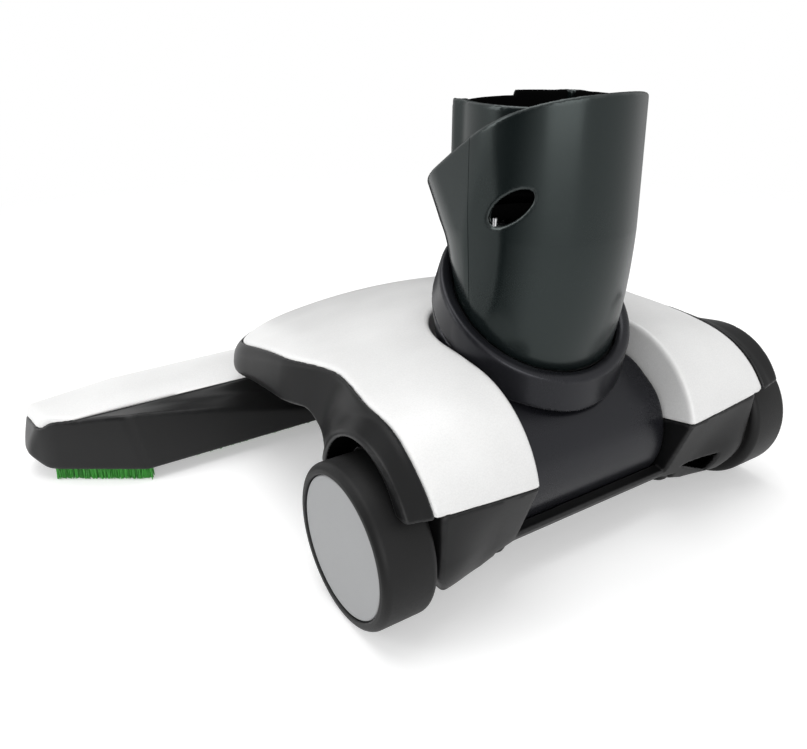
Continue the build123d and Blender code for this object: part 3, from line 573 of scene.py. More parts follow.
def bar_solid(x, y, z):
    """The whole bar, housing and cover together, with its top on the circle through edge, crest and nose."""
    ax = np.abs(x)
    share = np.minimum(ax / sweep_start[0], 1.0)
    beyond = np.maximum(ax - sweep_start[0], 0.0) / (bar_half_length - sweep_start[0])
    crease = 5.4 + 23.6 * share + 3.9 * beyond
    crest = 31.4 + 0.6 * (1.0 - share) - 3.2 * beyond
    first = ((crest_y**2 - bar_edge_y**2) + (crest**2 - bar_edge_z**2)) / 2.0
    second = ((nose_y**2 - crest_y**2) + (nose_z**2 - crest**2)) / 2.0
    rise, fall = crest - bar_edge_z, nose_z - crest
    before, after = crest_y - bar_edge_y, nose_y - crest_y
    centre_z = (first * after - second * before) / (rise * after - fall * before)
    centre_y = (first - rise * centre_z) / before
    radius = np.hypot(bar_edge_y - centre_y, bar_edge_z - centre_z)
    top = np.hypot(y - centre_y, z - centre_z) - radius
    ledge = line_side(y, z, (112.0, crease), (bar_edge_y, bar_edge_z))
    ledge = ledge + 2.4 * (1.0 - share) * np.exp(-(((y - 119.6) / 2.2) ** 2))
    rear = line_side(y, z, (109.0, bar_floor), (112.0, 29.0))
    section = both(np.where(y < bar_edge_y, ledge, top), rear, 1.2)
    draft = 0.93 * (ax - bar_half_length + 0.4 * (z - 12.0))
    return both(both(section, bar_floor - z, 1.2), both(bar_outline(x, y), draft, 1.6), 1.6)


print("bar's edge", bar_edge_y, bar_edge_z)

# %% Upper housing
ledge_width = 4.0
guard_x, guard_start = 82.6, 72.5
guard_root, guard_rim = np.array([6.5, 26.0, 36.6]), np.array([-0.7, 34.9, 26.1])
arch_y, arch_z, arch_radius = 1.0, 38.0, 21.05
liner_x = (68.9, 71.5)
edge_gap = 0.15


def well_reach(ax):
    """Radius of the room round a wheel, which follows the tyre's rounded shoulder."""
    return 27.3 - 3.0 * np.clip((75.0 - ax) / 4.0, 0.0, 1.0) ** 2


def tyre_room(ax, y, z):
    """Distance outside the room that a tyre needs."""
    return np.hypot(y, z - axle_z) - well_reach(ax)


def guard_skin(ax, y, z):
    """Distance above the arched guard, which leaves the hood's edge flush and narrows out to its rim."""
    share = (ax - guard_start) / (guard_x - guard_start)
    middle_y, middle_z, radius = (root + (rim - root) * share for root, rim in zip(guard_root, guard_rim))
    return 0.85 * (np.hypot(y - middle_y, z - middle_z) - radius)


def wheel_guard(x, y, z):
    """The guard before its wheel well is cut."""
    ax = np.abs(x)
    return both(both(guard_skin(ax, y, z), ax - guard_x, 1.3), 66.0 - ax)


def arch(y, z):
    """Distance outside the round hollow that the guard's rim runs along."""
    return np.hypot(y - arch_y, z - arch_z) - arch_radius


def wheel_well(ax, y, z):
    """Room under the guard: the tyre's own, and a taller hollow that shows above it."""
    return joined(tyre_room(ax, y, z), both(arch(y, z), 73.5 - ax), 0.6)


def upper_housing(x, y, z):
    ax = np.abs(x)
    top = above_hood(x, y, z)
    plan = beyond_plan(x, y)
    ahead = eased(y, 45.0, 95.0)
    wall = 0.99 * (plan - 0.14 * (72.0 - z))
    body = both(top + 0.25, wall, 1.6 + 3.0 * ahead)
    body = joined(body, wheel_guard(x, y, z), 1.6 + 4.0 * eased(y, 5.0, 30.0))
    body = both(body, 0.5 * (top + 0.1 - 2.6 * np.maximum(plan + 0.2, 0.0)), 0.5)
    body = cut(body, both(top + 2.0 * hood_wall, wall + hood_wall), 0.8)
    body = cut(body, both(plan - edge_gap, -top - hood_wall - edge_gap), 0.5)
    body = cut(body, plan + ledge_width, 0.6)
    liner = both(joined(tyre_room(ax, y, z), arch(y, z)) - 3.0, top + hood_wall + 0.4)
    body = joined(body, both(liner, within(ax, *liner_x)), 0.6)
    inner = 1.0 - eased(ax, 75.0, 78.0)
    low = 44.7 + 0.13 * np.maximum(ax - 73.0, 0.0) - (5.2 + 1.3 * inner) * eased(y, 6.0, 16.0)
    low = low + (47.5 - low) * eased(y, 33.0, 52.0) - 13.1 * np.clip((y - 48.0) / 70.0, 0.0, 1.0)
    body = both(body, 0.95 * (low - z), 1.0 + 5.0 * ahead)
    body = cut(body, both(wheel_well(ax, y, z), 71.0 - ax), 1.0)
    return cut(body, bar_solid(x, y, z) - 0.3)


# Painted shade: the wheel wells' skin is marked inner and painted near-black
def well_core(x, y, z):
    """The skin of the wheel wells."""
    ax = np.abs(x)
    return both(wheel_well(ax, y, z) - edge_gap, 70.7 - ax)


# The guard look paints the wheel wells near-black as shade
mould(
    "upper_housing_shell", upper_housing, (-83, -31, 30), (83, 158, 73), 0.65,
    "base", "dark_shell", "upper_housing", look="guard", core=well_core)

# %% [markdown]
# ## The nozzle bar
# A long low bar in two mouldings: a dark lower half with the suction chamber, and a pale lid over its
# crest. Both come from the same solid, parted along one line that falls towards the front and dips at the
# tips, so the joint between them is even.

# %% Bar cover and bar housing
lid_wall = 2.2
chamber_half, chamber_y, chamber_z = 114.0, (125.0, 152.0), (0.0, 17.0)
tall_half, tall_y, tall_z = 40.0, (125.0, 138.5), (0.0, 23.0)
duct_half, duct_end, duct_z = 30.15, 126.0, (10.25, 22.55)
screw_x, screw_y = 106.0, (132.0, 145.0)
post_radius, post_hole, post_z = 3.15, 1.5, (6.8, 17.6)
tip_slant = ((159.6, 13.2), (151.0, 5.0))
rail_half_width, rail_top = 2.0, 8.4


def above_parting(ax, y, z):
    """Distance above the line where the lid meets the lower half, which dips at the bar's tip."""
    fall = np.where(y < bar_edge_y, 0.6, 0.2)
    dip = 2.0 * np.exp(-(((ax - 150.5) / 2.2) ** 2))
    return 0.86 * (z - bar_edge_z - fall * (bar_edge_y - y) + dip)


def bar_cover(x, y, z):
    bar = bar_solid(x, y, z)
    part = above_parting(np.abs(x), y, z)
    return cut(both(bar, -part, 0.6), both(bar + lid_wall, -part - lid_wall), 0.5)


def rail_groove(x, y, z, start, end):
    """Groove for a bristle strip between two points of the plan."""
    run, rise = end[0] - start[0], end[1] - start[1]
    length = math.hypot(run, rise)
    along = ((x - start[0]) * run + (y - start[1]) * rise) / length
    across = ((y - start[1]) * run - (x - start[0]) * rise) / length
    return both(both(within(along, 0.0, length), np.abs(across) - rail_half_width), z - rail_top)


corner_along = np.subtract(sweep_end, sweep_start) / math.dist(sweep_end, sweep_start)
corner_inward = np.array([-corner_along[1], corner_along[0]])
rail_inset = 1.0
rail_shift = corner_inward * (rail_inset + rail_half_width)
rail_start = np.array(sweep_start) + rail_shift + corner_along * rail_inset
rail_end = np.array(sweep_end) + rail_shift - corner_along * rail_inset
rear_rail_y, rear_rail_half = 119.0, 96.0


def bar_housing(x, y, z):
    ax = np.abs(x)
    body = both(bar_solid(x, y, z), above_parting(ax, y, z) + 0.05, 0.6)
    body = both(body, line_side(ax, z, *tip_slant), 1.2)
    chamber = both(both(ax - chamber_half, within(y, *chamber_y)), within(z, *chamber_z))
    tall_room = both(both(ax - tall_half, within(y, *tall_y)), within(z, *tall_z))
    body = cut(body, joined(chamber, tall_room), 0.8)
    for spot in screw_y:
        post = np.hypot(ax - screw_x, y - spot)
        body = joined(body, both(both(post - post_radius, post_hole - post), within(z, *post_z)), 0.4)
    duct = both(ax - duct_half, within(z, *duct_z))
    body = cut(body, both(duct, y - duct_end), 0.4)
    body = cut(body, rail_groove(ax, y, z, rail_start, rail_end) + 0.8, 0.3)
    return cut(body, rail_groove(x, y, z, (-rear_rail_half, rear_rail_y), (rear_rail_half, rear_rail_y)), 0.3)


bar_low, bar_high = (-157, 108, 4), (157, 164, 33)
mould("nozzle_cover_lid", bar_cover, bar_low, bar_high, 1.0, "base", "pale_shell", "nozzle_cover")
mould("nozzle_housing_shell", bar_housing, bar_low, bar_high, 0.9, "base", "dark_shell", "nozzle_housing")

# %% [markdown]
# ## The lower rear housing
# Two axle boxes with a sill and a round trough between them, under the barrel. Its rear wall leans in the
# middle and beside the wheels it stands upright and rolls under, following the tyre. A slanting slot is cut
# in it near the right wheel.

# %% The rear housing's outside
barrel_radius, run_gap = 25.9, 0.4
rear_stations = (34.8, 48.0, 68.6)
rear_wall, wall_round = 2.4, 1.4
round_radius = 23.4
box_inner_x, box_x, boss_inner_x = 37.2, 68.6, 54.6
foot_x, foot_y = 39.5, -9.0
notch_corners = ((45.5, 19.2), (58.6, 21.3), (58.4, 11.8), (45.5, 17.6))


def from_middle(ax, *values):
    """A size that runs straight between the stations of the rear housing."""
    return np.interp(ax, rear_stations, values)


def rear_solid(x, y, z, inset):
    """The filled housing, drawn in by an inset: its leaning wall rolls under beside the wheels."""
    ax = np.abs(x)
    top_y = from_middle(ax, -24.9, -24.75, -24.4) + inset
    top_z = from_middle(ax, 41.0, 42.1, 43.9)
    low_y = from_middle(ax, -16.0, -16.5, -17.6) + inset
    low_z = from_middle(ax, 17.0, 14.0, 14.0)
    bottom = from_middle(ax, 13.5, 9.8, 9.8) + inset
    wall = line_side(y, z, (low_y, low_z), (top_y, top_z))
    toe = line_side(y, z, (low_y + 2.6, bottom), (low_y, low_z))
    leaning = both(wall, toe, wall_round)
    upright = -y - 0.045 * (z - axle_z)
    rolled = np.where(z > axle_z, upright, np.hypot(np.minimum(y, 0.0), z - axle_z)) - round_radius + inset
    beside = eased(ax, 46.0, 67.0)
    body = both(leaning + (rolled - leaning) * beside, bottom - z, wall_round)
    return both(both(body, y - 44.0 + inset, wall_round), z - top_z, 0.8)


print("rear wall rolls at", round_radius)

# %% Rear housing
def rear_reach(y, z):
    """Half width of the rear housing, which draws in at the foot."""
    return 64.7 + (5.6 - 1.7 * eased(y, -12.0, 0.0)) * eased(z, 8.0, 24.0)


def from_pivot(y, z):
    """Distance from the line that the barrel tilts about."""
    return np.hypot(y - pivot_y, z - pivot_z)


def rear_housing(x, y, z):
    ax = np.abs(x)
    outer = rear_solid(x, y, z, 0.0)
    reach = rear_reach(y, z)
    body = both(outer, 0.88 * (ax - reach), wall_round)
    hood_room = both(below_rear_edge(x, y, z) - edge_gap, y - 2.0)
    body = cut(body, hood_room, 0.4)
    hollow = both(rear_solid(x, y, z, rear_wall), both(box_inner_x - ax, ax - reach + rear_wall))
    body = cut(body, hollow, 0.8)
    between = ax - slot_half_width
    body = cut(body, both(between, 19.0 - z), 1.0)
    round_room = from_pivot(y, z) - barrel_radius - run_gap
    body = cut(body, both(round_room, between))
    body = cut(body, both(both(ax - 42.0, y - foot_y), z - 14.5), 0.8)
    trough = both(within(round_room, 0.0, 1.8), between)
    ahead, over = y - pivot_y, z - pivot_z
    wedge = both(0.719 * ahead + 0.695 * over, -0.469 * ahead + 0.883 * over)
    body = joined(body, both(trough, wedge, 0.6), 0.8)
    side = both(both(within(ax, box_x - rear_wall, box_x), within(y, -8.0, 22.0)), within(z, 19.6, 46.0))
    body = joined(body, side, 0.5)
    axle = np.hypot(y, z - axle_z)
    body = joined(body, both(axle - 6.5, within(ax, boss_inner_x, box_x)), 0.8)
    body = cut(body, both(axle - 3.0, boss_inner_x - ax))
    body = cut(body, both(from_pivot(y, z) - 9.0, within(ax, 34.0, box_inner_x)))
    upper, end, lower = (line_side(x, z, *pair) for pair in zip(notch_corners, notch_corners[1:]))
    slant = both(both(upper, end, 0.8), lower, 0.8)
    body = cut(body, both(both(slant, -outer - 5.0), y), 0.6)
    foot = np.hypot(ax - foot_x, y - foot_y)
    boss = cut(both(foot - 4.8, within(z, 11.9, 16.9), 0.8), round_room)
    body = joined(body, boss, 1.0)
    body = cut(body, both(foot - 3.15, z - 13.9))
    body = cut(body, both(foot - 1.5, z - 16.9))
    return cut(body, both(both(ax - 27.0, pivot_y - y), within(z, 14.5, 38.0)), 0.5)


# Painted shade: the inside of the two boxes is marked inner and painted near-black
def rear_core(x, y, z):
    """The inside of the two boxes."""
    ax = np.abs(x)
    depth = 0.9
    return both(rear_solid(x, y, z, depth), both(38.0 - ax, ax - rear_reach(y, z) + depth))


# The guard look paints the inside of the boxes near-black as shade
mould(
    "rear_housing_shell", rear_housing, (-71, -26, 9), (71, 45, 47), 1.0,
    "base", "dark_shell", "rear_housing", look="guard", core=rear_core)

# %% [markdown]
# ## The tilting barrel
# The barrel lies in the slot on two trunnions and an elbow grows out of it towards the swivel. The elbow is
# a round section that turns as it rises: each section lies in a plane through one hinge line, so its
# centre and radius follow from the angle about that line.

# %% A round section that turns
ring_y, ring_z = 19.7, 82.3
ring_sin, ring_cos = sine_cosine(33.8)


def turning_round(x, y, z, start, start_normal, start_radius, end, end_normal, end_radius, settle=0.0):
    """Distance outside a round bar that turns, the way along it, and its whole length.

    With settle at 1 the bar runs straight into its end, without a kink."""
    rows = np.array([start_normal, end_normal])
    hinge = np.linalg.solve(rows, [np.dot(start_normal, start), np.dot(end_normal, end)])
    arm_start, arm_end = np.subtract(start, hinge), np.subtract(end, hinge)
    out_y, out_z = y - hinge[0], z - hinge[1]
    far_start, far_end = np.hypot(*arm_start), np.hypot(*arm_end)
    whole = math.atan2(arm_start[0] * arm_end[1] - arm_start[1] * arm_end[0], np.dot(arm_start, arm_end))
    across = arm_start[0] * out_z - arm_start[1] * out_y
    share = np.arctan2(across, arm_start[0] * out_y + arm_start[1] * out_z) / whole
    eased_share = share + settle * share * (1.0 - share)
    reach = far_start + (far_end - far_start) * eased_share
    radius = start_radius + (end_radius - start_radius) * eased_share
    length = abs(whole) * (far_start + far_end) / 2.0
    return np.hypot(x, np.hypot(out_y, out_z) - reach) - radius, share * length, length


def above_ring(y, z):
    """Height above the swivel's rim, along its axis."""
    return -ring_sin * (y - ring_y) + ring_cos * (z - ring_z)


def ahead_of_ring(y, z):
    """Distance ahead of the swivel's axis, in the plane of its rim."""
    return ring_cos * (y - ring_y) + ring_sin * (z - ring_z)


print("swivel leans", round(math.degrees(math.asin(ring_sin)), 1))

# %% Barrel
barrel_half, barrel_round, barrel_wall = 34.0, 2.0, 3.0
elbow_root, bore_root, bore_top = 22.0, 19.5, 28.4
trunnion_radius, trunnion_x = 7.0, (31.0, 41.4)
collar_height, collar_foot_radius = 12.4, 34.2
elbow_top = (ring_y + collar_height * ring_sin, ring_z - collar_height * ring_cos)
elbow_root_normal = sine_cosine(10.0)


def drum(x, y, z, inset):
    """The barrel's drum with rounded ends."""
    out = from_pivot(y, z) - (barrel_radius - inset - barrel_round)
    along = np.abs(x) - (barrel_half - inset - barrel_round)
    outside = np.hypot(np.maximum(out, 0.0), np.maximum(along, 0.0))
    return outside + np.minimum(np.maximum(out, along), 0.0) - barrel_round


def elbow(x, y, z, root_radius, top_radius):
    """The elbow between the drum and the swivel."""
    pivot = (pivot_y, pivot_z)
    side, height, whole = turning_round(
        x, y, z, pivot, elbow_root_normal, root_radius, elbow_top, (-ring_sin, ring_cos), top_radius)
    return both(side, within(height, 0.0, whole), 0.3)


def tilt_barrel(x, y, z):
    ax = np.abs(x)
    body = joined(drum(x, y, z, 0.0), elbow(x, y, z, elbow_root, collar_foot_radius), 2.5)
    body = both(body, above_ring(y, z) + collar_height, 0.4)
    body = cut(body, drum(x, y, z, barrel_wall))
    body = cut(body, elbow(x, y, z, bore_root, bore_top), 0.8)
    ahead, over = y - pivot_y, z - pivot_z
    low_sin, low_cos = sine_cosine(111.0)
    window = both(over - 0.234 * ahead, -low_sin * ahead - low_cos * over)
    body = cut(body, both(window, ax - 23.0), 0.6)
    pin = both(from_pivot(y, z) - trunnion_radius, within(ax, *trunnion_x), 0.5)
    return joined(body, pin, 0.5)


mould(
    "tilt_barrel_body", tilt_barrel, (-42, -16, 5), (42, 64, 96), 0.95,
    "tilt", "dark_joint", "tilt_barrel")

# %% Collar
collar_radius, collar_taper, apron_back = 35.6, 1.4, 7.0
rim_depth, rim_bore = 1.2, 30.7


def swivel_collar(x, y, z):
    height = above_ring(y, z)
    ahead = ahead_of_ring(y, z)
    radius = np.hypot(x, ahead)
    share = np.clip((-height - rim_depth) / (collar_height - rim_depth), 0.0, 1.0)
    apron = np.hypot(x, ahead + apron_back * share)
    side = np.where(ahead < 0, np.minimum(radius, apron), radius) - (collar_radius - collar_taper * share)
    bore = rim_bore + np.clip(1.25 * (height + rim_depth), 0.0, 9.0) + 1.5 * eased(-height, 3.0, 3.6)
    body = both(both(side, height, 1.6), -collar_height - height, 1.0)
    body = both(body, 0.7 * (bore - radius), 0.8)
    return cut(body, drum(x, y, z, 0.0) - 0.05, 0.8)


mould(
    "swivel_collar_ring", swivel_collar, (-37, -22, 50), (37, 58, 104), 0.65,
    "tilt", "dark_joint", "swivel_collar")

# %% [markdown]
# ## The neck
# The sleeve is moulded in two halves that meet at a seam on each side. The front half is drawn out into a
# lip like a spout, and the rim falls in one sweep from the back to the lip. A flat is shaved between the
# seam and a soft crease, and an eye-shaped window lets the wand's latch through.

# %% Sleeve
neck_y, neck_radius, neck_wall = 22.0, 31.2, 2.2
blend_z = 108.0
foot_depth, foot_radius, sleeve_taper = 2.0, 30.1, 0.0358
neck_foot = (ring_y + foot_depth * ring_sin, ring_z - foot_depth * ring_cos)
spout_low, spout_z, spout_rise, spout_reach = 96.0, 104.5, 19.5, 15.6
window_z, window_half_length, window_half_height = 118.0, 8.2, 3.8
turn_sin, turn_cos = sine_cosine(59.5)
slant_sin, slant_cos = sine_cosine(38.0)
flat_sin, flat_cos = sine_cosine(76.0)
key_radius, (key_sin, key_cos) = 26.8, sine_cosine(120.0)
rim_curve = np.polyfit([-48.4, -31.2, 0.0, 21.0, 48.4], [151.0, 150.5, 137.2, 123.0, 110.0], 4)


def sleeve(x, y, z, inset):
    """The sleeve's outside, or its inside when drawn in, with its front drawn out into a spout."""
    share = (z - spout_z) / spout_rise
    shift = np.clip(7.5 * (share + np.sqrt(share * share + 0.03)), 0.0, spout_reach)
    shift = shift * eased(z, spout_low, blend_z)
    y = np.where(y > neck_y, neck_y + np.maximum(y - neck_y - shift, 0.0), y)
    end = (neck_y, blend_z)
    low = turning_round(
        x, y, z, neck_foot, (-ring_sin, ring_cos), foot_radius - inset,
        end, (0.0, 1.0), neck_radius - inset, 1.0)[0]
    high = np.hypot(x, y - neck_y) - (neck_radius - inset - sleeve_taper * (z - blend_z))
    return np.where(z < blend_z, low, high)


def above_rim(y, z):
    """Distance above the sleeve's sweeping rim."""
    return 0.85 * (z - np.polyval(rim_curve, np.clip(y - neck_y, -46.0, 48.0)))


def eye_window(x, y, z, grow):
    """The slanted window on each side of the sleeve."""
    ax, front, height = np.abs(x), y - neck_y, z - window_z
    side, out = ax * turn_cos + front * turn_sin, ax * turn_sin - front * turn_cos
    along, over = side * slant_cos - height * slant_sin, side * slant_sin + height * slant_cos
    eye = np.hypot(along / window_half_length, over / window_half_height) - 1.0
    return both(window_half_height * eye - grow, 10.0 - out)


def from_key(x, y):
    """Distance from the nearer of the two round keys between sleeve and tube."""
    return np.hypot(np.abs(x) - key_radius * key_sin, y - neck_y + key_radius * key_cos)


print("sleeve's window at", window_z)

# %% The two halves
def neck_shell(x, y, z):
    """Both halves of the sleeve, before they are parted at the seam."""
    front = y - neck_y
    body = cut(sleeve(x, y, z, 0.0), sleeve(x, y, z, neck_wall))
    body = both(body, above_rim(y, z), 1.1)
    flat = np.abs(x) * flat_sin - front * flat_cos - neck_radius * math.cos(math.radians(14.0))
    body = both(body, np.where(front < 0.5, flat, -9.0), 0.3)
    body = cut(body, eye_window(x, y, z, 0.0), 0.7)
    height = above_ring(y, z)
    body = both(body, -height - foot_depth)
    foot = np.where(height < 0.4, np.hypot(x, ahead_of_ring(y, z)) - 30.3, -9.0)
    return cut(both(body, foot), both(from_key(x, y) - 2.85, 109.0 - z), 0.3)


# Painted shade: the sleeve's inner faces are marked inner and painted near-black
def sleeve_core(x, y, z):
    """Inside the middle of the sleeve's wall."""
    return sleeve(x, y, z, neck_wall / 2.0)


seam_gap = 0.1
neck_sides = {
    "neck_rear_sleeve": ("neck_rear_shell", (-32, -15, 60), (32, 24, 153), 1),
    "neck_front_sleeve": ("neck_front_shell", (-32, 16, 72), (32, 71, 142), -1),
}
for name, (node, low, high, way) in neck_sides.items():
    half = mould(name, neck_shell, low, high, 0.7, "neck", "dark_neck", node, core=sleeve_core)
    trimmed(half, (0.0, neck_y - way * seam_gap, 137.0), (0.0, way, -0.06 * way))

# %% Socket tube
tube_radius, bore_radius = 27.2, 25.2
bore_foot, tube_top = 111.0, 146.3


def socket_tube(x, y, z):
    radius = np.hypot(x, y - neck_y)
    post = from_key(x, y)
    body = both(radius - tube_radius, within(z, 108.0, tube_top), 0.8)
    body = joined(body, both(post - 2.7, within(z, 110.2, tube_top), 0.6), 4.0)
    body = cut(body, both(radius - bore_radius, bore_foot - z), 0.7)
    body = cut(body, radius - 23.4, 0.5)
    body = both(cut(body, both(post - 1.7, bore_foot - z), 0.5), z - tube_top, 0.6)
    notch = both(both(x - 7.95, 36.75 - y), 144.4 - z)
    return cut(cut(body, notch, 0.5), eye_window(x, y, z, 0.4), 0.5)


# Painted shade: the tube's bore is marked inner and painted near-black, so the window looks dark
def socket_core(x, y, z):
    """Inside the middle of the tube's wall, at any height."""
    return np.hypot(x, y - neck_y) - 26.1


mould(
    "socket_tube_liner", socket_tube, (-30, -6, 107), (30, 50, 147), 0.8,
    "neck", "dark_neck", "socket_tube", core=socket_core)

# %% [markdown]
# ## The wheels
# A wheel is a turned shape, so it is made as one: a profile of radius and place along the axle is swung
# round in even steps. The tyre has round shoulders and a small step where the grey cap sits flush.

# %% Turned wheels
around_steps = 96


def turned(name, profile, side, body, slot, node):
    """A closed profile of (radius, distance along the axle) swung round a wheel's axle."""
    rings = np.array(profile)
    angles = np.arange(around_steps) * 2.0 * math.pi / around_steps
    radius, along = rings[:, 0][:, None], rings[:, 1][:, None]
    x = side * np.broadcast_to(along, (len(rings), around_steps))
    points = np.stack([x, radius * np.cos(angles), axle_z + radius * np.sin(angles)], axis=-1).reshape(-1, 3)
    grid = np.arange(len(rings) * around_steps).reshape(len(rings), around_steps)
    ahead = np.roll(grid, -1, axis=1)
    quads = np.stack([grid, ahead, np.roll(ahead, -1, axis=0), np.roll(grid, -1, axis=0)], axis=-1)
    faces = quads.reshape(-1, 4)[:, ::-side]
    following = np.roll(rings, -1, axis=0) - rings
    previous = np.roll(following, 1, axis=0)
    bend = np.abs(np.arctan2(np.cross(previous, following), (previous * following).sum(axis=1)))
    edge = np.repeat(np.where(rings[:, 0] > 2.0, np.clip(2.0 * bend, 0.0, 1.5), 0.0), around_steps)
    piece = add_piece(name, points, faces, body, slot, node, edge=edge)
    work = bmesh.new()
    work.from_mesh(piece.data)
    bmesh.ops.remove_doubles(work, verts=work.verts[:], dist=0.01 * millimetre)
    work.to_mesh(piece.data)
    work.free()
    print(name, "faces", len(piece.data.polygons))
    return piece


def arc(centre_radius, centre_along, size, start, end, count=7):
    """Points on an arc of a wheel's profile."""
    angles = np.radians(np.linspace(start, end, count))
    return [(centre_radius + size * math.cos(a), centre_along + size * math.sin(a)) for a in angles]


print("steps round a wheel", around_steps)

# %% Tyres and caps
wheel_radius, wheel_inner, wheel_outer, shoulder = 26.2, 72.0, 90.4, 2.6
tyre_profile = [(21.05, 72.4), (21.45, 72.0)]
tyre_profile += arc(wheel_radius - shoulder, wheel_inner + shoulder, shoulder, -90, 0, 9)
tyre_profile += arc(wheel_radius - shoulder, wheel_outer - shoulder, shoulder, 0, 78, 9)
tyre_profile += arc(23.25, wheel_outer - 0.6, 0.55, 70, 180, 6)
tyre_profile += [(22.7, 88.2), (22.65, 87.75), (21.3, 87.7), (21.05, 87.5)]
cap_profile = [(0.0, 87.75), (22.2, 87.75), (22.5, 88.0), (22.5, 89.2)]
cap_profile += arc(21.9, 89.3, 0.6, 0, 90, 6)
cap_profile += [(21.2, 89.88), (20.4, 89.84), (14.0, 89.78), (7.0, 89.75), (1.0, 89.74), (0.0, 89.74)]
for name, side in (("left", -1), ("right", 1)):
    body = name + "_wheel"
    turned(name + "_tyre_ring", tyre_profile, side, body, "tread", name + "_tyre")
    turned(name + "_hub_disc", cap_profile, side, body, "hub_grey", name + "_hub_cap")

# %% [markdown]
# ## The bristles
# A strip is a plastic rail packed with fine nylon filaments. Hundreds of like pieces on a surface are what
# Geometry Nodes are for: points are scattered over the strip with a fixed seed, and each gets a thin
# filament with its own lean and length. The result is turned into a plain mesh and laid along its rail.

# %% A node tree for a bristle strip
most_lean, shortest, whole_turn = 0.09, 0.93, 6.28


def bristle_tree():
    """Filaments hanging down from a flat strip that lies along x."""
    tree = bpy.data.node_groups.new("bristle_strip", "GeometryNodeTree")
    for name in ("Length", "Width", "Height", "Thickness", "Density"):
        tree.interface.new_socket(name, in_out="INPUT", socket_type="NodeSocketFloat")
    tree.interface.new_socket("Seed", in_out="INPUT", socket_type="NodeSocketInt")
    tree.interface.new_socket("Geometry", in_out="OUTPUT", socket_type="NodeSocketGeometry")
    sizes = {socket.name: Wire(tree, socket) for socket in tree.nodes.new("NodeGroupInput").outputs}
    seed, thickness = sizes["Seed"], sizes["Thickness"]
    add = seed.add_node
    flat = add("GeometryNodeMeshGrid", {}, {"Size X": sizes["Length"], "Size Y": sizes["Width"]})
    values = {"Mesh": flat, "Density": sizes["Density"], "Seed": seed}
    spots = add("GeometryNodeDistributePointsOnFaces", {}, values)
    values = {"Radius Top": thickness, "Radius Bottom": thickness, "Depth": sizes["Height"]}
    filament = add("GeometryNodeMeshCone", {}, {**values, "Vertices": 5, "Side Segments": 2})
    least, most = (math.pi - most_lean, -most_lean, 0.0), (math.pi + most_lean, most_lean, whole_turn)
    drawn = "FunctionNodeRandomValue"
    lean = add(drawn, {"data_type": "FLOAT_VECTOR"}, {"Min": least, "Max": most, "Seed": seed})
    length = add(drawn, {"data_type": "FLOAT"}, {2: shortest, 3: 1.0, "Seed": seed}, 1)
    tone = add(drawn, {"data_type": "FLOAT"}, {"Seed": seed}, 1)
    values = {"Geometry": spots, "Name": "tone", "Value": tone}
    marked = add("GeometryNodeStoreNamedAttribute", {"domain": "POINT"}, values)
    stretch = add("ShaderNodeCombineXYZ", {}, {"X": 1.0, "Y": 1.0, "Z": length})
    values = {"Points": marked, "Instance": filament, "Rotation": lean, "Scale": stretch}
    placed = add("GeometryNodeInstanceOnPoints", {}, values)
    real = add("GeometryNodeRealizeInstances", {}, {"Geometry": placed})
    painted = add("GeometryNodeSetMaterial", {}, {"Geometry": real, "Material": finishes["bristle"]})
    tree.links.new(painted.socket, tree.nodes.new("NodeGroupOutput").inputs[0])
    return tree


bristle_nodes = bristle_tree()
print("bristle nodes", len(bristle_nodes.nodes))

# %% Lay the strips
def grown(name, tree, values, place):
    """Run a node tree on an empty mesh and keep its result as a plain mesh, set in place."""
    holder = put(name + "_maker", bpy.data.meshes.new(name + "_maker"))
    modifier = holder.modifiers.new("grow", "NODES")
    modifier.node_group = tree
    for item in tree.interface.items_tree:
        if item.in_out == "INPUT" and item.name in values:
            modifier[item.identifier] = values[item.name]
    graph = bpy.context.evaluated_depsgraph_get()
    mesh = bpy.data.meshes.new_from_object(holder.evaluated_get(graph))
    mesh.name = name
    mesh.transform(place)
    holder.modifiers.remove(modifier)
    bpy.data.objects.remove(holder)
    return mesh


def strip_place(start, end, z):
    """Turn and move a strip that lies along x to run from start to end."""
    middle = (np.array(start) + np.array(end)) / 2.0
    turn = math.atan2(end[1] - start[1], end[0] - start[0])
    spot = Vector((middle[0], middle[1], z)) * millimetre + Vector(axle_place)
    return Matrix.Translation(spot) @ Matrix.Rotation(turn, 4, "Z")


def mirrored(point):
    """The same point on the other half of the bar."""
    return np.array([-point[0], point[1]])


tuft_start, tuft_end = rail_start - 2.0 * corner_along, rail_end + 1.2 * corner_along
rear_ends = np.array([[-rear_rail_half, rear_rail_y], [rear_rail_half, rear_rail_y]])
dense, sparse = 8.0e6, 3.0e6
tuft_width, tuft_z, filament_length, filament_radius = 3.2, 5.45, 5.4, 0.17
strips = {
    "right_bristle_strip": (tuft_start, tuft_end, dense),
    "left_bristle_strip": (mirrored(tuft_end), mirrored(tuft_start), dense),
    "rear_bristle_strip": (*rear_ends, sparse),
}
for seed, (node, (start, end, density)) in enumerate(strips.items(), 3):
    length = math.dist(start, end)
    values = {
        "Length": (length - 0.6) * millimetre, "Width": tuft_width * millimetre,
        "Height": filament_length * millimetre, "Thickness": filament_radius * millimetre,
        "Density": density, "Seed": seed}
    mesh = grown(node + "_filaments", bristle_nodes, values, strip_place(start, end, tuft_z))
    tuft = put(node + "_filaments", mesh)
    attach(tuft, "base")
    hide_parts(node)
    print(node, "filament faces", len(mesh.polygons))

# %% [markdown]
# ## Finishes for the solids that stay
# The inner pieces keep their CAD shape, which is right as it is: the duct, the sole, pins, bushes, screws,
# the wheels' cores and the swivel's ring and seal. Each takes the finish of its slot, only the swivel's ring
# has a duller one.

# %% Dress the solids
for entry in frame["record"]["subparts"]:
    solid = frame["nodes"][entry["node"]]
    solid.data.materials.clear()
    solid.data.materials.append(finishes[entry["material_slot"]])
frame["nodes"]["swivel_base"].data.materials[0] = finishes["swivel"]
print("dressed", len(frame["nodes"]), "solids")

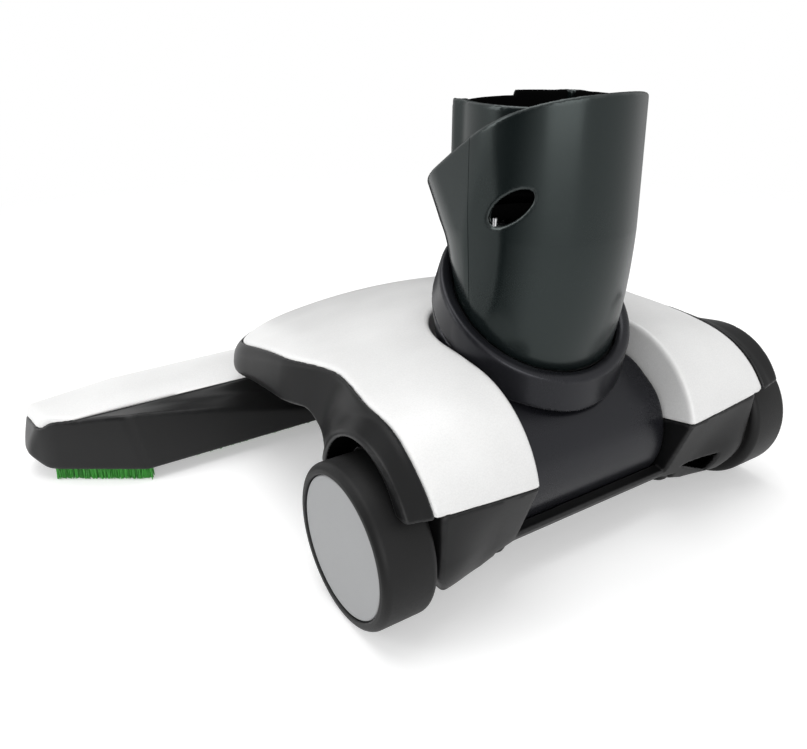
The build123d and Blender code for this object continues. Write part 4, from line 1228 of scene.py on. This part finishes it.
# %% [markdown]
# ## Studio
# The photograph is a product picture on white. A pale floor keeps the soft shadow under the wheels, and a
# little light that only the camera and reflections see lifts it to white without lighting the object more.
# Large soft lamps above, to the left and behind give the dark plastic its broad sheen. Dark cards, seen only
# in the gloss, give the round neck its form.

# %% Floor and surroundings
def seen_light(tree):
    """1 for what the camera sees, directly or in something shiny, and 0 for light that falls on things."""
    path = tree.nodes.new("ShaderNodeLightPath")
    seen = Wire(tree, path.outputs["Is Camera Ray"]) + Wire(tree, path.outputs["Is Glossy Ray"])
    return (seen + Wire(tree, path.outputs["Is Transmission Ray"])).limited()


def studio_floor():
    """A wide pale floor that keeps a soft shadow and fades into the white surroundings."""
    reach = 8.0
    mesh = bpy.data.meshes.new("studio_floor")
    corners = [(-reach, -reach, 0.0), (reach, -reach, 0.0), (reach, reach, 0.0), (-reach, reach, 0.0)]
    mesh.from_pydata(corners, [], [(0, 1, 2, 3)])
    material, place = start_finish("studio_floor")
    tree = material.node_tree
    shader = tree.nodes["Principled BSDF"]
    fill(shader, Base_Color=(0.8, 0.8, 0.8, 1), Emission_Color=white + opaque)
    fill(shader, Roughness=0.9, Specular_IOR_Level=0.0)
    lift = seen_light(tree)
    tree.links.new((0.35 * lift).socket, shader.inputs["Emission Strength"])
    far = place.add_node("ShaderNodeVectorMath", {"operation": "LENGTH"}, {0: place}, "Value").ramp(0.3, 0.6)
    bright = place.add_node("ShaderNodeEmission", {}, {"Strength": 0.5 + 0.5 * lift})
    near = Wire(tree, shader.outputs[0])
    faded = place.add_node("ShaderNodeMixShader", {}, {0: far, 1: near, 2: bright})
    tree.links.new(faded.socket, tree.nodes["Material Output"].inputs["Surface"])
    mesh.materials.append(material)
    floor = put("studio_floor", mesh)


def studio_world():
    """Even white surroundings: plain light for the object, white where they are seen."""
    world = bpy.data.worlds.new("studio")
    world.use_nodes = True
    tree = world.node_tree
    ground = tree.nodes["Background"]
    fill(ground, Color=white + opaque)
    tree.links.new((0.5 + 0.5 * seen_light(tree)).socket, ground.inputs["Strength"])
    bpy.context.scene.world = world


studio_floor()
studio_world()
print("floor and surroundings ready")

# %% Lamps and cards
def soft_lamp(name, place, target, width, height, power):
    """A large soft lamp that looks at a point."""
    lamp = bpy.data.lights.new(name, "AREA")
    lamp.shape = "RECTANGLE"
    lamp.size = width
    lamp.size_y = height
    lamp.energy = power
    holder = put(name, lamp)
    aim = Vector(target) - Vector(place)
    holder.matrix_world = Matrix.Translation(place) @ aim.to_track_quat("-Z", "Y").to_matrix().to_4x4()


def dark_card(name, sharp_turn, soft_turn, near, far, height):
    """A dark card, as photographers stand beside glossy things to give them form.

    It leans outwards between two angles left of straight back, fades towards the second one and towards
    its top, and shows only in the gloss of the plastic."""
    points = []
    for turn in (sharp_turn, soft_turn):
        sine, cosine = sine_cosine(turn)
        out = Vector((-sine, -cosine, 0.0))
        points += [out * near, out * far + Vector((0.0, 0.0, height))]
    mesh = bpy.data.meshes.new(name)
    mesh.from_pydata(points, [], [(0, 2, 3, 1)])
    fade = mesh.uv_layers.new(name="fade")
    for corner, place in zip(fade.data, ((0, 0), (1, 0), (1, 1), (0, 1))):
        corner.uv = place
    material, place = start_finish(name)
    shader = material.node_tree.nodes["Principled BSDF"]
    fill(shader, Base_Color=(0.01, 0.01, 0.012, 1), Specular_IOR_Level=0.0)
    spread = place.add_node("ShaderNodeUVMap", {"uv_map": "fade"})
    across, up = (spread.add_node("ShaderNodeSeparateXYZ", {}, {0: spread}, axis) for axis in "XY")
    cover = (1.0 - across.ramp(0.25, 1.0)) * (1.0 - 0.7 * up.ramp(0.1, 0.9))
    spread.tree.links.new(cover.socket, shader.inputs["Alpha"])
    mesh.materials.append(material)
    card = put(name, mesh)
    card.visible_camera = False
    card.visible_diffuse = False
    card.visible_shadow = False


dark_card("rear_card", 94.0, 30.0, 0.2, 0.7, 0.9)
dark_card("side_card", -178.0, -66.0, 0.25, 0.7, 0.9)
middle = (0.0, -0.03, 0.07)
soft_lamp("top_lamp", (-0.1, 0.15, 1.3), middle, 1.0, 1.0, 9.0)
soft_lamp("left_lamp", (-1.15, 0.4, 0.5), middle, 0.5, 0.9, 5.0)
soft_lamp("rear_lamp", (-0.45, -1.15, 0.4), middle, 0.9, 0.7, 6.5)
print("lamps", len(bpy.data.lights))

# %% [markdown]
# ## Size
# A box is turned into plain lists of numbers. The dressed model has to stay inside the box of the solids.

# %% A box as plain lists
def plain(corner_pair):
    """A box as plain lists."""
    return [[float(part) for part in corner] for corner in corner_pair]
